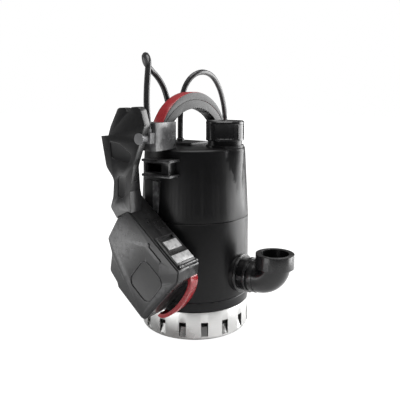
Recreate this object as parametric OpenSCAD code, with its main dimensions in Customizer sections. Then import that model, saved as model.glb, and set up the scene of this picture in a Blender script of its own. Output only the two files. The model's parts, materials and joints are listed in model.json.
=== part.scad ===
// Submersible drainage pump with a stainless strainer foot, a swivel elbow on
// the side outlet, a capped top outlet, a carrying handle and a level switch
// that swings on a pivot in front of the body.
// Origin: centre of the foot, on the floor. +X: side outlet. -Y: level switch.

/* [Body] */
// Outer radius of the two housings
body_r = 80; // [78:0.5:84]
// Outer radius at the deck, where the upper housing has tapered in
deck_r = 75; // [73:0.5:77]
// Height of the deck above the floor
deck_z = 267; // [262:1:275]
// Height of the seam between lower and upper housing
seam_z = 165; // [155:1:175]
// Wall thickness of the housings
wall = 4; // [3.5:0.25:4.5]
// Radius of the rounded rim of the deck
rim_r = 5; // [3:0.5:7]
// Width of the raised plate that the cables pass through
plate_w = 54; // [50:1:58]
// Length of the raised plate
plate_l = 46; // [42:1:50]
// Height of the raised plate
plate_h = 4; // [2:0.5:6]

/* [Strainer] */
// Height of the strainer cup
strainer_h = 40; // [38:1:44]
// Sheet thickness of the strainer cup
strainer_t = 1.2; // [1:0.1:1.6]
// Bend radius of the strainer's bottom lip
lip_r = 5; // [3:0.5:5]
// Number of inlet slots
slot_count = 16; // [12:1:18]
// Width of an inlet slot
slot_w = 10; // [8:0.5:12]
// Height of an inlet slot
slot_h = 20; // [18:0.5:22]
// Lower edge of the inlet slots
slot_z = 5.5; // [5.5:0.5:8]
// How far the louvre of each slot leans inwards
louvre_lean = 16; // [8:1:20]
// Height of the ring that carries the strainer
base_h = 14; // [12:1:16]

/* [Hydraulics] */
// Height of the side outlet's axis
outlet_z = 87; // [85:0.5:90]
// Bore radius of the inlet eye
eye_r = 22; // [18:0.5:24]
// Outer radius of the impeller
impeller_r = 44; // [40:0.5:46]
// Height of the impeller vanes
vane_h = 16; // [12:0.5:18]
// Number of impeller vanes
vane_count = 6; // [4:1:8]
// Thickness of an impeller vane
vane_t = 3; // [2:0.25:4]
// Bore radius of the outlet pipe inside the body
outlet_bore_r = 18; // [17.5:0.1:18.5]
// Disc radius of the non-return flap
flap_r = 14.5; // [13:0.25:15]

/* [Motor] */
// Shaft radius
shaft_r = 6; // [5:0.25:7]
// Outer radius of the motor can
can_r = 60; // [59:0.5:62]
// Sheet thickness of the motor can
can_t = 2; // [1.5:0.25:2.5]
// Stack height of rotor and stator
stack_h = 60; // [50:1:62]
// Rotor radius
rotor_r = 35; // [30:0.5:38]
// Outer radius of the ball bearings
bearing_r = 16; // [15:0.25:17]
// Height of the ball bearings
bearing_h = 10; // [9:0.5:11]

/* [Elbow] */
// Distance of the elbow's upright leg from the pump axis
leg_x = 135; // [133:0.5:140]
// Outer radius of the elbow's bend
bend_r = 22; // [21:0.25:23]
// Outer radius of the elbow's level pipe
pipe_r = 23; // [22.5:0.25:23.5]
// Bore radius of the elbow
elbow_bore_r = 17; // [16:0.25:17.25]
// Outer radius of the female socket
socket_r = 26.7; // [25.5:0.1:28]
// Tapping bore radius of the female socket, for a G 1 1/4 pipe thread
socket_bore_r = 19.5; // [19.4:0.05:20]
// Depth of the female socket's bore
socket_h = 19; // [17:0.5:20]
// Top of the socket above the floor
socket_top_z = 124; // [123:0.5:128]

/* [Top outlet] */
// Distance of the top outlet from the pump axis
port_x = 53; // [51:0.25:54]
// Outer radius of the screw cap
cap_r = 27.5; // [26.5:0.25:28.5]
// Height of the screw cap
cap_h = 28; // [26:0.5:30]
// Outer radius of the outlet's neck
neck_r = 23.5; // [23:0.1:24]
// Height of the gap under the cap, where the neck shows
neck_gap = 10; // [8:0.5:12]

/* [Handle] */
// Width of the handle along X
handle_w = 18; // [16:0.5:20]
// Height of the grip's upper line above the deck
arch_h = 68; // [64:1:72]
// Half of the grip's span along Y
arch_span = 83; // [81:0.5:84]
// Depth of the grip below the red shell
grip_d = 13; // [11:0.5:15]
// Thickness of the red shell at its crown
shell_t = 11; // [9:0.5:12]
// Width of the bracket box that holds the handle's front leg
bracket_w = 24; // [24:0.5:28]
// Height of the bracket box above the deck
bracket_h = 38; // [34:1:42]

/* [Level switch] */
// Slope of the switch housing
switch_tilt = 39; // [36:0.5:42]
// Front face of the level switch
switch_front = 129; // [127:0.5:132]
// Plane where the front and back shells of the switch meet
switch_split = 105; // [103:0.5:106]
// Back face of the level switch
switch_back = 84; // [83.5:0.25:86]
// Wall thickness of the switch shells
switch_wall = 2.5; // [2:0.25:3]
// Thickness of the arm at its pivot
arm_t = 12; // [10:0.5:12]
// Radius of the hollow pivot pin
pivot_r = 5; // [4:0.25:6]
// Radius of the steel ball in the level switch
ball_r = 7.5; // [6:0.25:8]
// How far the hoop stands out from the end of the switch
hoop_out = 17; // [15:0.5:19]
// Thickness of the hoop
hoop_t = 5.5; // [4:0.5:6]
// Width of the hoop along Y
hoop_w = 15; // [12:0.5:15]

/* [Cables] */
// Diameter of the power cable and the switch cable
cable_d = 8.4; // [8:0.1:9]

/* [Hidden] */

// Colours
C_BODY = [0.10, 0.10, 0.11];
C_SOFT = [0.16, 0.16, 0.17];
C_RED = [0.62, 0.06, 0.09];
C_STEEL = [0.78, 0.79, 0.80];
C_GREY = [0.55, 0.56, 0.57];
C_COPPER = [0.72, 0.40, 0.20];
C_BRASS = [0.75, 0.62, 0.30];
C_CREAM = [0.85, 0.84, 0.78];

// Roundness
FINE = 96;
MID = 64;
SMALL = 32;

// Fits
fit = 0.05;
seat = 0.3;
loose = 0.1;
weld = 0.5;

// Outlines: corner points [x, y, corner radius] become polygons with round corners
function unit(v) = v / norm(v);
function flat2(p) = [p.x, p.y];
function turn(a, b) = a.x * b.y - a.y * b.x;
function fillet(q, p, s, r, n) =
    let (a = unit(q - p))
    let (b = unit(s - p))
    let (half = acos(a * b) / 2)
    let (c = p + unit(a + b) * r / sin(half))
    let (d0 = p + a * r / tan(half) - c)
    let (d1 = p + b * r / tan(half) - c)
    let (a0 = atan2(d0.y, d0.x))
    let (sweep = (atan2(d1.y, d1.x) - a0 + 540) % 360 - 180)
    [for (i = [0:n]) c + r * [cos(a0 + sweep * i / n), sin(a0 + sweep * i / n)]];
function rounded(pts, n = 5) =
    let (k = len(pts))
    [for (i = [0:k - 1])
        each pts[i].z <= 0 ? [flat2(pts[i])]
            : fillet(flat2(pts[(i + k - 1) % k]), flat2(pts[i]), flat2(pts[(i + 1) % k]), pts[i].z, n)];
// The same outline moved inwards by d, for outlines that run clockwise
function inset(pts, d) =
    let (k = len(pts))
    [for (i = [0:k - 1])
        let (e1 = unit(flat2(pts[i]) - flat2(pts[(i + k - 1) % k])))
        let (e2 = unit(flat2(pts[(i + 1) % k]) - flat2(pts[i])))
        let (n1 = [e1.y, -e1.x])
        let (n2 = [e2.y, -e2.x])
        let (m = (n1 + n2) / (1 + n1 * n2))
        [pts[i].x + m.x * d, pts[i].y + m.y * d, max(0, pts[i].z + (turn(e1, e2) < 0 ? -d : d))]];
function arc(cx, cy, r, a0, a1, n = 8) =
    [for (i = [0:n]) [cx + r * cos(a0 + (a1 - a0) * i / n), cy + r * sin(a0 + (a1 - a0) * i / n)]];
function ellipse_arc(cx, cy, rx, ry, a0, a1, n) =
    [for (i = [0:n]) [cx + rx * cos(a0 + (a1 - a0) * i / n), cy + ry * sin(a0 + (a1 - a0) * i / n)]];

// An outline in the XZ plane, solid between the planes Y = -front and Y = -back
module slab(front, back) {
    translate([0, -back, 0])
        rotate([90, 0, 0])
            linear_extrude(height = front - back)
                children();
}
// A round bar along Y, from y0 to y1, at x and z
module y_bar(x, z, r, y0, y1, fn = SMALL) {
    translate([x, y0, z])
        rotate([-90, 0, 0])
            cylinder(h = y1 - y0, r = r, $fn = fn);
}
// A round bar along X, from x0 to x1, on the outlet's axis
module x_bar(r, x0, x1, fn = MID) {
    translate([x0, 0, outlet_z])
        rotate([0, 90, 0])
            cylinder(h = x1 - x0, r = r, $fn = fn);
}
module ring(r_out, r_in, h, fn = FINE) {
    difference() {
        cylinder(h = h, r = r_out, $fn = fn);
        translate([0, 0, -1])
            cylinder(h = h + 2, r = r_in, $fn = fn);
    }
}
module torus(major, minor, fn = MID) {
    rotate_extrude($fn = fn)
        translate([major, 0])
            circle(r = minor, $fn = 16);
}

// Strainer
strainer_r = body_r - 0.5;
louvre_h = slot_h * 0.68;
module strainer() {
    outer = concat([[0, 0]], arc(strainer_r - lip_r, lip_r, lip_r, -90, 0), [[strainer_r, strainer_h]]);
    inner = concat([[strainer_r - strainer_t, strainer_h]],
        arc(strainer_r - lip_r, lip_r, lip_r - strainer_t, 0, -90), [[0, strainer_t]]);
    color(C_STEEL) {
        difference() {
            rotate_extrude($fn = FINE)
                polygon(concat(outer, inner));
            for (i = [0:slot_count - 1])
                rotate(i * 360 / slot_count)
                    translate([strainer_r - lip_r, -slot_w / 2, slot_z])
                        cube([2 * lip_r, slot_w, slot_h]);
        }
        for (i = [0:slot_count - 1])
            rotate(i * 360 / slot_count)
                translate([strainer_r - strainer_t * 0.7, 0, slot_z - weld])
                    rotate([0, -louvre_lean, 0])
                        translate([-strainer_t, -slot_w * 0.45, 0])
                            cube([strainer_t, slot_w * 0.9, louvre_h]);
    }
}

// Base ring and inlet plate
base_top = strainer_h + base_h;
ring_in = body_r - 8;
ledge_in = ring_in - 6;
plate_t = 4;
ledge_top = base_top - plate_t;
module base_ring() {
    color(C_BODY)
        rotate_extrude($fn = FINE)
            polygon([
                [body_r - 1.5, strainer_h], [body_r, strainer_h + 1.5], [body_r, base_top - 0.8],
                [body_r - 0.8, base_top], [ring_in, base_top], [ring_in, ledge_top],
                [ledge_in, ledge_top], [ledge_in, ledge_top - 4], [ring_in, ledge_top - 6], [ring_in, strainer_h]
            ]);
}
eye_drop = 7;
screw_ring_r = ledge_in - 5;
screw_r = 2.5;
module at_screws() {
    for (a = [45:90:315])
        rotate(a)
            translate([screw_ring_r, 0, 0])
                children();
}
module inlet_plate() {
    color(C_BODY)
        difference() {
            union() {
                translate([0, 0, ledge_top])
                    cylinder(h = plate_t, r = ring_in - loose, $fn = FINE);
                translate([0, 0, ledge_top - eye_drop])
                    cylinder(h = eye_drop + weld, r = eye_r + 3, $fn = MID);
            }
            translate([0, 0, ledge_top - eye_drop - 1])
                cylinder(h = eye_drop + plate_t + 2, r = eye_r, $fn = MID);
            at_screws()
                translate([0, 0, ledge_top - 1])
                    cylinder(h = plate_t + 2, r = screw_r + seat, $fn = 24);
        }
}
screw_l = 18;
module base_screws() {
    color(C_STEEL)
        at_screws() {
            translate([0, 0, ledge_top - 3])
                cylinder(h = 3, r = screw_r + 2, $fn = 24);
            translate([0, 0, ledge_top - weld])
                cylinder(h = screw_l, r = screw_r, $fn = 24);
        }
}

// Volute with its outlet pipe, and the non-return flap inside it
volute_top = outlet_z + 21;
volute_r = impeller_r + 8;
volute_t = 4;
outlet_x = sqrt(pow(body_r - wall, 2) - pow(outlet_bore_r + 3, 2)) - seat;
flap_x = outlet_x - 10.5;
flap_pin_r = 1;
flap_eye_r = flap_pin_r + 1;
flap_eye_l = 4;
flap_hinge_z = outlet_z + outlet_bore_r - 3;
flap_t = 2;
seat_t = 3;
seat_x = flap_x - flap_t / 2 - seat;
module volute() {
    color(C_SOFT)
        difference() {
            union() {
                translate([0, 0, base_top])
                    cylinder(h = volute_top - base_top, r = volute_r + volute_t, $fn = FINE);
                x_bar(outlet_bore_r + 3, 0, outlet_x);
                at_screws()
                    translate([0, 0, base_top])
                            cylinder(h = 26, r = 5.5, $fn = SMALL);
                for (a = [45:90:315])
                    rotate(a)
                        translate([volute_r, -2, base_top])
                            cube([body_r - wall - volute_r - 2 * seat, 4, 40]);
            }
            translate([0, 0, base_top - 1])
                cylinder(h = volute_top - base_top + 2, r = volute_r, $fn = FINE);
            x_bar(outlet_bore_r, seat_x, outlet_x + 1);
            x_bar(outlet_bore_r - 1, 0, seat_x - seat_t);
            x_bar(flap_r - 2.5, 0, seat_x + 1);
            y_bar(flap_x, flap_hinge_z, flap_pin_r + fit, -flap_pin_l - fit, flap_pin_l + fit, 24);
            y_bar(flap_x, flap_hinge_z, flap_eye_r + seat, -flap_eye_l - seat, flap_eye_l + seat, 24);
            at_screws()
                translate([0, 0, base_top - 1])
                    cylinder(h = screw_l, r = screw_r + fit, $fn = 24);
        }
}
flap_pin_l = 12;
module flap_pin() {
    color(C_STEEL)
        y_bar(flap_x, flap_hinge_z, flap_pin_r, -flap_pin_l, flap_pin_l, 24);
}
module flap_valve() {
    color(C_SOFT)
        difference() {
            union() {
                x_bar(flap_r, flap_x - flap_t / 2, flap_x + flap_t / 2, MID);
                y_bar(flap_x, flap_hinge_z, flap_eye_r, -flap_eye_l, flap_eye_l, 24);
            }
            y_bar(flap_x, flap_hinge_z, flap_pin_r + fit, -20, 20, 24);
        }
}

// Impeller: curved vanes under a shroud disc
impeller_top = outlet_z + 13;
shroud_t = 4;
hub_r = shaft_r + 5;
vane_bottom = impeller_top - shroud_t - vane_h;
vane_sweep = 55;
function vane_r(t) = hub_r - 1 + (impeller_r - hub_r - 1) * t;
function vane_line(side, n = 10) =
    [for (i = [0:n])
        let (t = i / n)
        let (a = vane_sweep * t * (1 + 0.3 * t))
        vane_r(t) * [cos(a), sin(a)] + side * vane_t / 2 * [-sin(a + 55), cos(a + 55)]];
function backwards(v) = [for (i = [len(v) - 1:-1:0]) v[i]];
module impeller() {
    color(C_CREAM)
        difference() {
            union() {
                translate([0, 0, impeller_top - shroud_t])
                    cylinder(h = shroud_t, r = impeller_r, $fn = FINE);
                translate([0, 0, vane_bottom + 4])
                    cylinder(h = impeller_top - vane_bottom - 4, r = hub_r, $fn = MID);
                for (i = [0:vane_count - 1])
                    rotate(i * 360 / vane_count)
                        translate([0, 0, vane_bottom])
                            linear_extrude(height = vane_h + weld)
                                polygon(concat(vane_line(-1), backwards(vane_line(1))));
            }
            translate([0, 0, vane_bottom - 1])
                cylinder(h = impeller_top - vane_bottom + 2, r = shaft_r + fit, $fn = MID);
        }
}
nut_h = 6;
shaft_bottom = vane_bottom - 4;
module impeller_nut() {
    color(C_STEEL)
        translate([0, 0, vane_bottom + 4 - nut_h])
            difference() {
                cylinder(h = nut_h, r = shaft_r + 2.8, $fn = 6);
                translate([0, 0, -1])
                    cylinder(h = nut_h + 2, r = shaft_r + fit, $fn = MID);
            }
}

// Lower housing with the boss of the side outlet
boss_r = 27;
boss_x = body_r + 1.5;
collar_r = pipe_r + 0.4;
module lower_housing() {
    color(C_BODY)
        difference() {
            union() {
                rotate_extrude($fn = FINE)
                    polygon([
                        [body_r - 0.8, base_top], [body_r, base_top + 0.8], [body_r, seam_z - 0.8],
                        [body_r - 0.8, seam_z], [body_r - wall, seam_z], [body_r - wall, base_top]
                    ]);
                intersection() {
                    x_bar(boss_r, body_r - wall - 8, boss_x);
                    difference() {
                        x_bar(boss_r + 1, body_r - wall - 9, boss_x + 1);
                        translate([0, 0, base_top - 1])
                            cylinder(h = seam_z - base_top, r = body_r - wall, $fn = FINE);
                    }
                }
            }
            x_bar(collar_r + fit, body_r - wall - 20, boss_x + 2);
        }
}

// Seal cover, shaft seal and bearings
cover_t = 10;
can_z = volute_top + cover_t;
seal_r = shaft_r + 8;
module seal_cover() {
    color(C_SOFT)
        translate([0, 0, volute_top])
            difference() {
                cylinder(h = cover_t, r = can_r, $fn = FINE);
                translate([0, 0, -1])
                    cylinder(h = cover_t + 2, r = seal_r + fit, $fn = MID);
            }
}
module shaft_seal() {
    color(C_GREY)
        translate([0, 0, volute_top])
            ring(seal_r, shaft_r + fit, cover_t - 1, MID);
}
module bearing() {
    color(C_STEEL)
        difference() {
            cylinder(h = bearing_h, r = bearing_r, $fn = MID);
            translate([0, 0, -1])
                cylinder(h = bearing_h + 2, r = shaft_r + fit, $fn = MID);
            for (z = [-1, bearing_h - 1])
                translate([0, 0, z])
                    ring(bearing_r - 3, shaft_r + 3, 2, MID);
        }
}
module lower_bearing() {
    translate([0, 0, can_z])
        bearing();
}

// Motor
stack_z = can_z + 27;
bearing_top_z = stack_z + stack_h + 31;
can_top = bearing_top_z + 6;
can_floor = 3;
module motor_can() {
    color(C_STEEL)
        translate([0, 0, can_z])
            difference() {
                cylinder(h = can_top - can_z, r = can_r, $fn = FINE);
                translate([0, 0, can_floor])
                    cylinder(h = can_top, r = can_r - can_t, $fn = FINE);
                translate([0, 0, -1])
                    cylinder(h = can_floor + 2, r = bearing_r + fit, $fn = MID);
            }
}
air_gap = 0.5;
module stator_core() {
    color(C_GREY)
        translate([0, 0, stack_z])
            ring(can_r - can_t - loose, rotor_r + air_gap, stack_h);
}
winding_h = 13;
module windings() {
    color(C_COPPER)
        for (z = [stack_z - winding_h, stack_z + stack_h])
            translate([0, 0, z])
                rotate_extrude($fn = MID)
                    polygon(rounded([
                        [rotor_r + 5, 0, 3], [rotor_r + 5, winding_h, 3],
                        [can_r - can_t - 5, winding_h, 3], [can_r - can_t - 5, 0, 3]
                    ]));
}
module shaft() {
    color(C_STEEL)
        translate([0, 0, shaft_bottom])
            cylinder(h = bearing_top_z - 1 - shaft_bottom, r = shaft_r, $fn = MID);
}
module rotor_core() {
    color(C_GREY)
        translate([0, 0, stack_z])
            ring(rotor_r, shaft_r + fit, stack_h);
}
module upper_bearing() {
    translate([0, 0, bearing_top_z - bearing_h])
        bearing();
}
cap_plate_t = 6;
module motor_cap() {
    color(C_GREY)
        difference() {
            union() {
                translate([0, 0, can_top - cap_plate_t])
                    cylinder(h = cap_plate_t, r = can_r - can_t - loose, $fn = FINE);
                translate([0, 0, can_top])
                    cylinder(h = 3, r = can_r, $fn = FINE);
                translate([0, 0, bearing_top_z - bearing_h])
                    cylinder(h = bearing_h + 1, r = bearing_r + 4, $fn = MID);
            }
            translate([0, 0, bearing_top_z - bearing_h - 1])
                cylinder(h = bearing_h + 1, r = bearing_r + fit, $fn = MID);
        }
}
capacitor_r = 7.5;
capacitor_l = 40;
module capacitor() {
    color(C_CREAM)
        translate([-can_r + can_t + 22, 0, 0])
            y_bar(0, can_top - cap_plate_t - capacitor_r - seat, capacitor_r, -capacitor_l / 2, capacitor_l / 2);
}

// Upper housing: tapered shell, deck, outlet boss and neck
lap_h = 10;
lap_t = 3;
deck_t = 4;
boss_z = 205;
boss_top_r = 28;
port_bore_r = neck_r - 4;
neck_top = deck_z + neck_gap + cap_h - 6;
function taper_r(z) = body_r - (body_r - deck_r) * (z - seam_z) / (deck_z - rim_r - seam_z);
module upper_housing() {
    boss_low_r = taper_r(boss_z) - port_x;
    color(C_BODY)
        difference() {
            union() {
                rotate_extrude($fn = FINE)
                    polygon(concat(
                        [[body_r - 0.8, seam_z], [body_r, seam_z + 0.8]],
                        arc(deck_r - rim_r, deck_z - rim_r, rim_r, 0, 90),
                        [
                            [0, deck_z], [0, deck_z - deck_t], [deck_r - wall - 4, deck_z - deck_t],
                            [deck_r - wall, deck_z - deck_t - 4], [body_r - wall, seam_z + 4],
                            [body_r - wall - lap_t, seam_z + 2], [body_r - wall - lap_t, seam_z - lap_h],
                            [body_r - wall - loose, seam_z - lap_h], [body_r - wall - loose, seam_z]
                        ]));
                translate([port_x, 0, 0])
                    rotate_extrude($fn = FINE)
                        polygon(concat(
                            [[0, boss_z], [boss_low_r, boss_z]],
                            arc(boss_top_r - 4, deck_z - 4, 4, 0, 90),
                            [[neck_r + 3.5, deck_z], [neck_r + 3.5, deck_z + 3.5], [neck_r + 1, deck_z + 3.5],
                             [neck_r + 1, deck_z + neck_gap - seat], [neck_r, deck_z + neck_gap - seat],
                             [neck_r, neck_top], [0, neck_top]]));
            }
            translate([port_x, 0, boss_z - 1])
                cylinder(h = neck_top - boss_z + 2, r = port_bore_r, $fn = MID);
            translate([0, 0, boss_z - 2])
                cylinder(h = can_top + 8 - boss_z, r = can_r + 6, $fn = FINE);
            translate([0, 0, seam_z - lap_h / 2])
                ring(body_r, body_r - wall - seal_d, seal_d);
        }
}
seal_d = 2.4;
module housing_seal() {
    color(C_SOFT)
        translate([0, 0, seam_z - lap_h / 2 + seal_d / 2])
            torus(body_r - wall - loose - seal_d / 2 + 0.05, seal_d / 2 - 0.05, FINE);
}

// Raised plate on the deck, with the two cable glands
plate_x = 5;
plate_y = -17;
power_x = -34;
power_y = 9;
switch_x = -36;
switch_y = -11;
gland_r = cable_d / 2 + 2;
gland_h = 4;
plate_top = deck_z + plate_h;
module deck_plate() {
    color(C_BODY)
        difference() {
            translate([plate_x - plate_w, plate_y, deck_z])
                cube([plate_w, plate_l, plate_h]);
            for (p = [[power_x, power_y], [switch_x, switch_y]])
                translate([p.x, p.y, deck_z - 1])
                    cylinder(h = plate_h + 2, r = gland_r + loose, $fn = SMALL);
        }
}
module gland() {
    color(C_SOFT)
        translate([0, 0, deck_z])
            difference() {
                union() {
                    cylinder(h = plate_h, r = gland_r, $fn = SMALL);
                    translate([0, 0, plate_h])
                        cylinder(h = gland_h, r1 = gland_r, r2 = cable_d / 2 + 1, $fn = SMALL);
                }
                translate([0, 0, 1])
                    cylinder(h = plate_h + gland_h, r = cable_d / 2 + fit, $fn = SMALL);
            }
}
module power_gland() {
    translate([power_x, power_y, 0])
        gland();
}
module switch_gland() {
    translate([switch_x, switch_y, 0])
        gland();
}

// Side outlet: collar on the body, swivel elbow and its seal
collar_flange = 4.5;
collar_end = boss_x + collar_flange;
spigot_r = collar_r - 2.4;
spigot_x = outlet_x + 1.5;
groove_x = collar_end + 15;
module outlet_collar() {
    color(C_SOFT)
        difference() {
            union() {
                x_bar(collar_r, outlet_x + 1, boss_x + weld);
                x_bar(boss_r, boss_x, collar_end - 1);
                x_bar(boss_r - 1, boss_x, collar_end);
            }
            x_bar(spigot_r + fit, outlet_x, collar_end + 1);
        }
}
seal_x = spigot_x + 6;
elbow_seal_r = 1.1;
turn_r = bend_r + 1.5;
turn_x = leg_x - turn_r;
leg_z = outlet_z + turn_r;
// A quarter turn from the level pipe into the upright leg
module bend(r) {
    translate([turn_x, 0, leg_z])
        rotate([0, 90, 0])
            rotate([90, 0, 0])
                rotate_extrude(angle = 90, $fn = FINE)
                    translate([turn_r, 0])
                        circle(r = r, $fn = MID);
}
module elbow() {
    color(C_BODY)
        difference() {
            union() {
                x_bar(spigot_r, spigot_x, collar_end + 1);
                x_bar(pipe_r, collar_end + seat, turn_x - 2);
                x_bar(bend_r, turn_x - 3, turn_x);
                x_bar(pipe_r + 1.6, groove_x - 5, groove_x - 1);
                bend(bend_r);
                translate([leg_x, 0, socket_top_z - socket_h])
                    cylinder(h = socket_h, r = socket_r, $fn = FINE);
                translate([leg_x, 0, leg_z - 1])
                    cylinder(h = 2, r = bend_r, $fn = MID);
            }
            x_bar(elbow_bore_r, spigot_x - 1, turn_x);
            bend(elbow_bore_r);
            translate([leg_x, 0, leg_z])
                cylinder(h = socket_h, r = elbow_bore_r, $fn = MID);
            translate([leg_x, 0, socket_top_z - socket_h + 1])
                cylinder(h = socket_h, r = socket_bore_r, $fn = MID);
            difference() {
                x_bar(pipe_r + 2, groove_x - 1, groove_x + 1.5);
                x_bar(pipe_r - 1.2, groove_x - 2, groove_x + 3);
            }
            difference() {
                x_bar(spigot_r + 1, seal_x - elbow_seal_r - fit, seal_x + elbow_seal_r + fit);
                x_bar(spigot_r - 2 * elbow_seal_r, seal_x - 3, seal_x + 3);
            }
        }
}
module elbow_seal() {
    color(C_SOFT)
        translate([seal_x, 0, outlet_z])
            rotate([0, 90, 0])
                torus(spigot_r - elbow_seal_r + fit, elbow_seal_r - fit / 2);
}

// Screw cap on the top outlet
cap_z = deck_z + neck_gap;
cap_top = cap_z + cap_h;
cap_ribs = 24;
module top_cap() {
    color(C_BODY)
        translate([port_x, 0, 0])
            difference() {
                union() {
                    rotate_extrude($fn = FINE)
                        polygon([
                            [0, cap_z], [cap_r - 0.6, cap_z], [cap_r, cap_z + 0.6], [cap_r, cap_z + 3],
                            [cap_r - 0.6, cap_z + 3.6], [cap_r - 0.6, cap_top - 5], [cap_r, cap_top - 4.4],
                            [cap_r, cap_top - 1.5], [cap_r - 1.5, cap_top], [0, cap_top]
                        ]);
                    for (i = [0:cap_ribs - 1])
                        rotate(i * 360 / cap_ribs)
                            translate([cap_r - 1.5, -0.7, cap_z + 2])
                                cube([1.3, 1.4, cap_h - 6]);
                }
                translate([0, 0, cap_z - 1])
                    cylinder(h = neck_top - cap_z + 1 + 1.4, r = neck_r + loose, $fn = FINE);
            }
}
module cap_seal() {
    color(C_SOFT)
        translate([port_x, 0, neck_top + 0.05])
            ring(neck_r - 0.5, port_bore_r + 0.5, 1.2, MID);
}

// Carrying handle: grip below, red shell above, one leg in the bracket box
arch_y = -11;
arch_rise = arch_h + shell_t;
shell_span = arch_span + 3;
leg_y = arch_y - arch_span;
module arch(rx_out, rz_out, rx_in, rz_in, w) {
    translate([-w / 2, 0, 0])
        rotate([90, 0, 90])
            linear_extrude(height = w)
                polygon(concat(
                    ellipse_arc(arch_y, deck_z, rx_out, rz_out, 0, 180, 40),
                    ellipse_arc(arch_y, deck_z, rx_in, rz_in, 180, 0, 40)));
}
grip_ribs = 15;
module handle_grip() {
    color(C_SOFT) {
        difference() {
            arch(arch_span - seat, arch_h - seat, arch_span - grip_d, arch_h - grip_d, handle_w);
            for (i = [0:grip_ribs - 1])
                let (a = 62 + 56 * i / (grip_ribs - 1))
                translate([0, arch_y + (arch_span - grip_d) * cos(a), deck_z + (arch_h - grip_d) * sin(a)])
                    rotate([a - 90, 0, 0])
                        translate([-handle_w, -0.7, -1])
                            cube([2 * handle_w, 1.4, 2]);
        }
    }
}
module handle_shell() {
    color(C_RED)
        difference() {
            arch(shell_span, arch_rise, arch_span, arch_h, handle_w);
            for (s = [-1, 1])
                translate([s * handle_w / 2, arch_y, deck_z])
                    rotate([90, 0, 90])
                        linear_extrude(height = 2 * shell_t, center = true)
                            difference() {
                                polygon(ellipse_arc(0, 0, shell_span + 1, arch_rise + 1, 0, 180, 40));
                                polygon(ellipse_arc(0, 0, shell_span + 20, arch_rise - 0, 0, 180, 40));
                            }
        }
}
bracket_front = 107;
bracket_rear = 62;
module bracket_box() {
    color(C_SOFT)
        difference() {
            translate([-bracket_w / 2, -bracket_front, deck_z])
                cube([bracket_w, bracket_front - bracket_rear, bracket_h]);
            arch(shell_span + 1, arch_rise + 1, arch_span - grip_d - 1, arch_h - grip_d - 1, handle_w + 2 * seat);
            translate([bracket_w / 2 - 1.2, -bracket_rear - 5.5, deck_z + 3])
                cube([3, 3, 3.5]);
        }
}

// Two-shelf clip on the body for parking the switch cable
clip_z = 230;
clip_h = 24;
clip_left = -24;
clip_right = 25;
clip_out = 94;
clip_shelf = 3.5;
module cable_clip() {
    color(C_SOFT)
        difference() {
            union() {
                for (z = [clip_z, clip_z + clip_h - clip_shelf])
                    translate([clip_left, -clip_out, z])
                        cube([clip_right - clip_left, clip_out - 50, clip_shelf]);
                translate([clip_left, -clip_out + 4, clip_z + 1])
                    cube([clip_right - clip_left - 5, 3, clip_h - 2]);
                translate([clip_right - 8, -clip_out + 4, clip_z + 1])
                    cube([3, clip_out - 54, clip_h - 2]);
                translate([clip_left, -clip_out + 4, clip_z + 1])
                    cube([3, clip_out - 54, clip_h - 2]);
            }
            translate([clip_left + 7, -clip_out, clip_z + clip_shelf + 3.5])
                cube([25, 12, clip_h - 2 * clip_shelf - 6]);
            translate([0, 0, seam_z])
                cylinder(h = deck_z - rim_r - seam_z, r1 = body_r + fit, r2 = deck_r + fit, $fn = FINE);
        }
}

// Flat guide on the body, behind the level switch
guide_low = 75;
guide_high = 222;
guide_left = -34;
guide_right = -3;
guide_out = body_r + 0.5;
module side_guide() {
    color(C_SOFT)
        difference() {
            linear_extrude(height = guide_high)
                polygon([
                    [guide_left, -60], [guide_left, -guide_out + 4], [guide_left + 4, -guide_out],
                    [guide_right - 5, -guide_out], [guide_right, -guide_out + 4], [guide_right, -60]
                ]);
            translate([0, 0, -1])
                cylinder(h = seam_z + 1 + fit, r = body_r + fit, $fn = FINE);
            translate([0, 0, seam_z])
                cylinder(h = deck_z - rim_r - seam_z, r1 = body_r + fit, r2 = deck_r + fit, $fn = FINE);
            translate([-100, -100, -1])
                cube([200, 200, guide_low + 1]);
        }
}

// Pivot of the level switch on the front of the bracket box
pivot_x = 4;
pivot_z = 285;
arm_back = switch_front - arm_t;
block_w = 14;
block_h = 14;
pin_clear = 0.05;
pivot_gap = arm_back - bracket_front;
cable_y = -bracket_front - pivot_gap / 2;
cable_end_z = pivot_z + block_h / 2 + 5;
module pivot_block() {
    color(C_GREY)
        difference() {
            union() {
                translate([pivot_x - block_w / 2, -arm_back + seat, pivot_z - block_h / 2])
                    cube([block_w, pivot_gap - seat, block_h]);
                translate([pivot_x, cable_y, pivot_z + block_h / 2])
                    cylinder(h = 5, r = cable_d / 2 + 0.4, $fn = SMALL);
            }
            y_bar(pivot_x, pivot_z, pivot_r + fit, -arm_back - 1, -bracket_front - 1.5);
        }
}
pin_head = 2;
module pivot_pin() {
    color(C_GREY) {
        y_bar(pivot_x, pivot_z, pivot_r, -switch_front - 1, -bracket_front - 1.5 - fit);
        y_bar(pivot_x, pivot_z, pivot_r + 2.5, -switch_front - 1 - pin_head, -switch_front - seat);
    }
}

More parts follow.
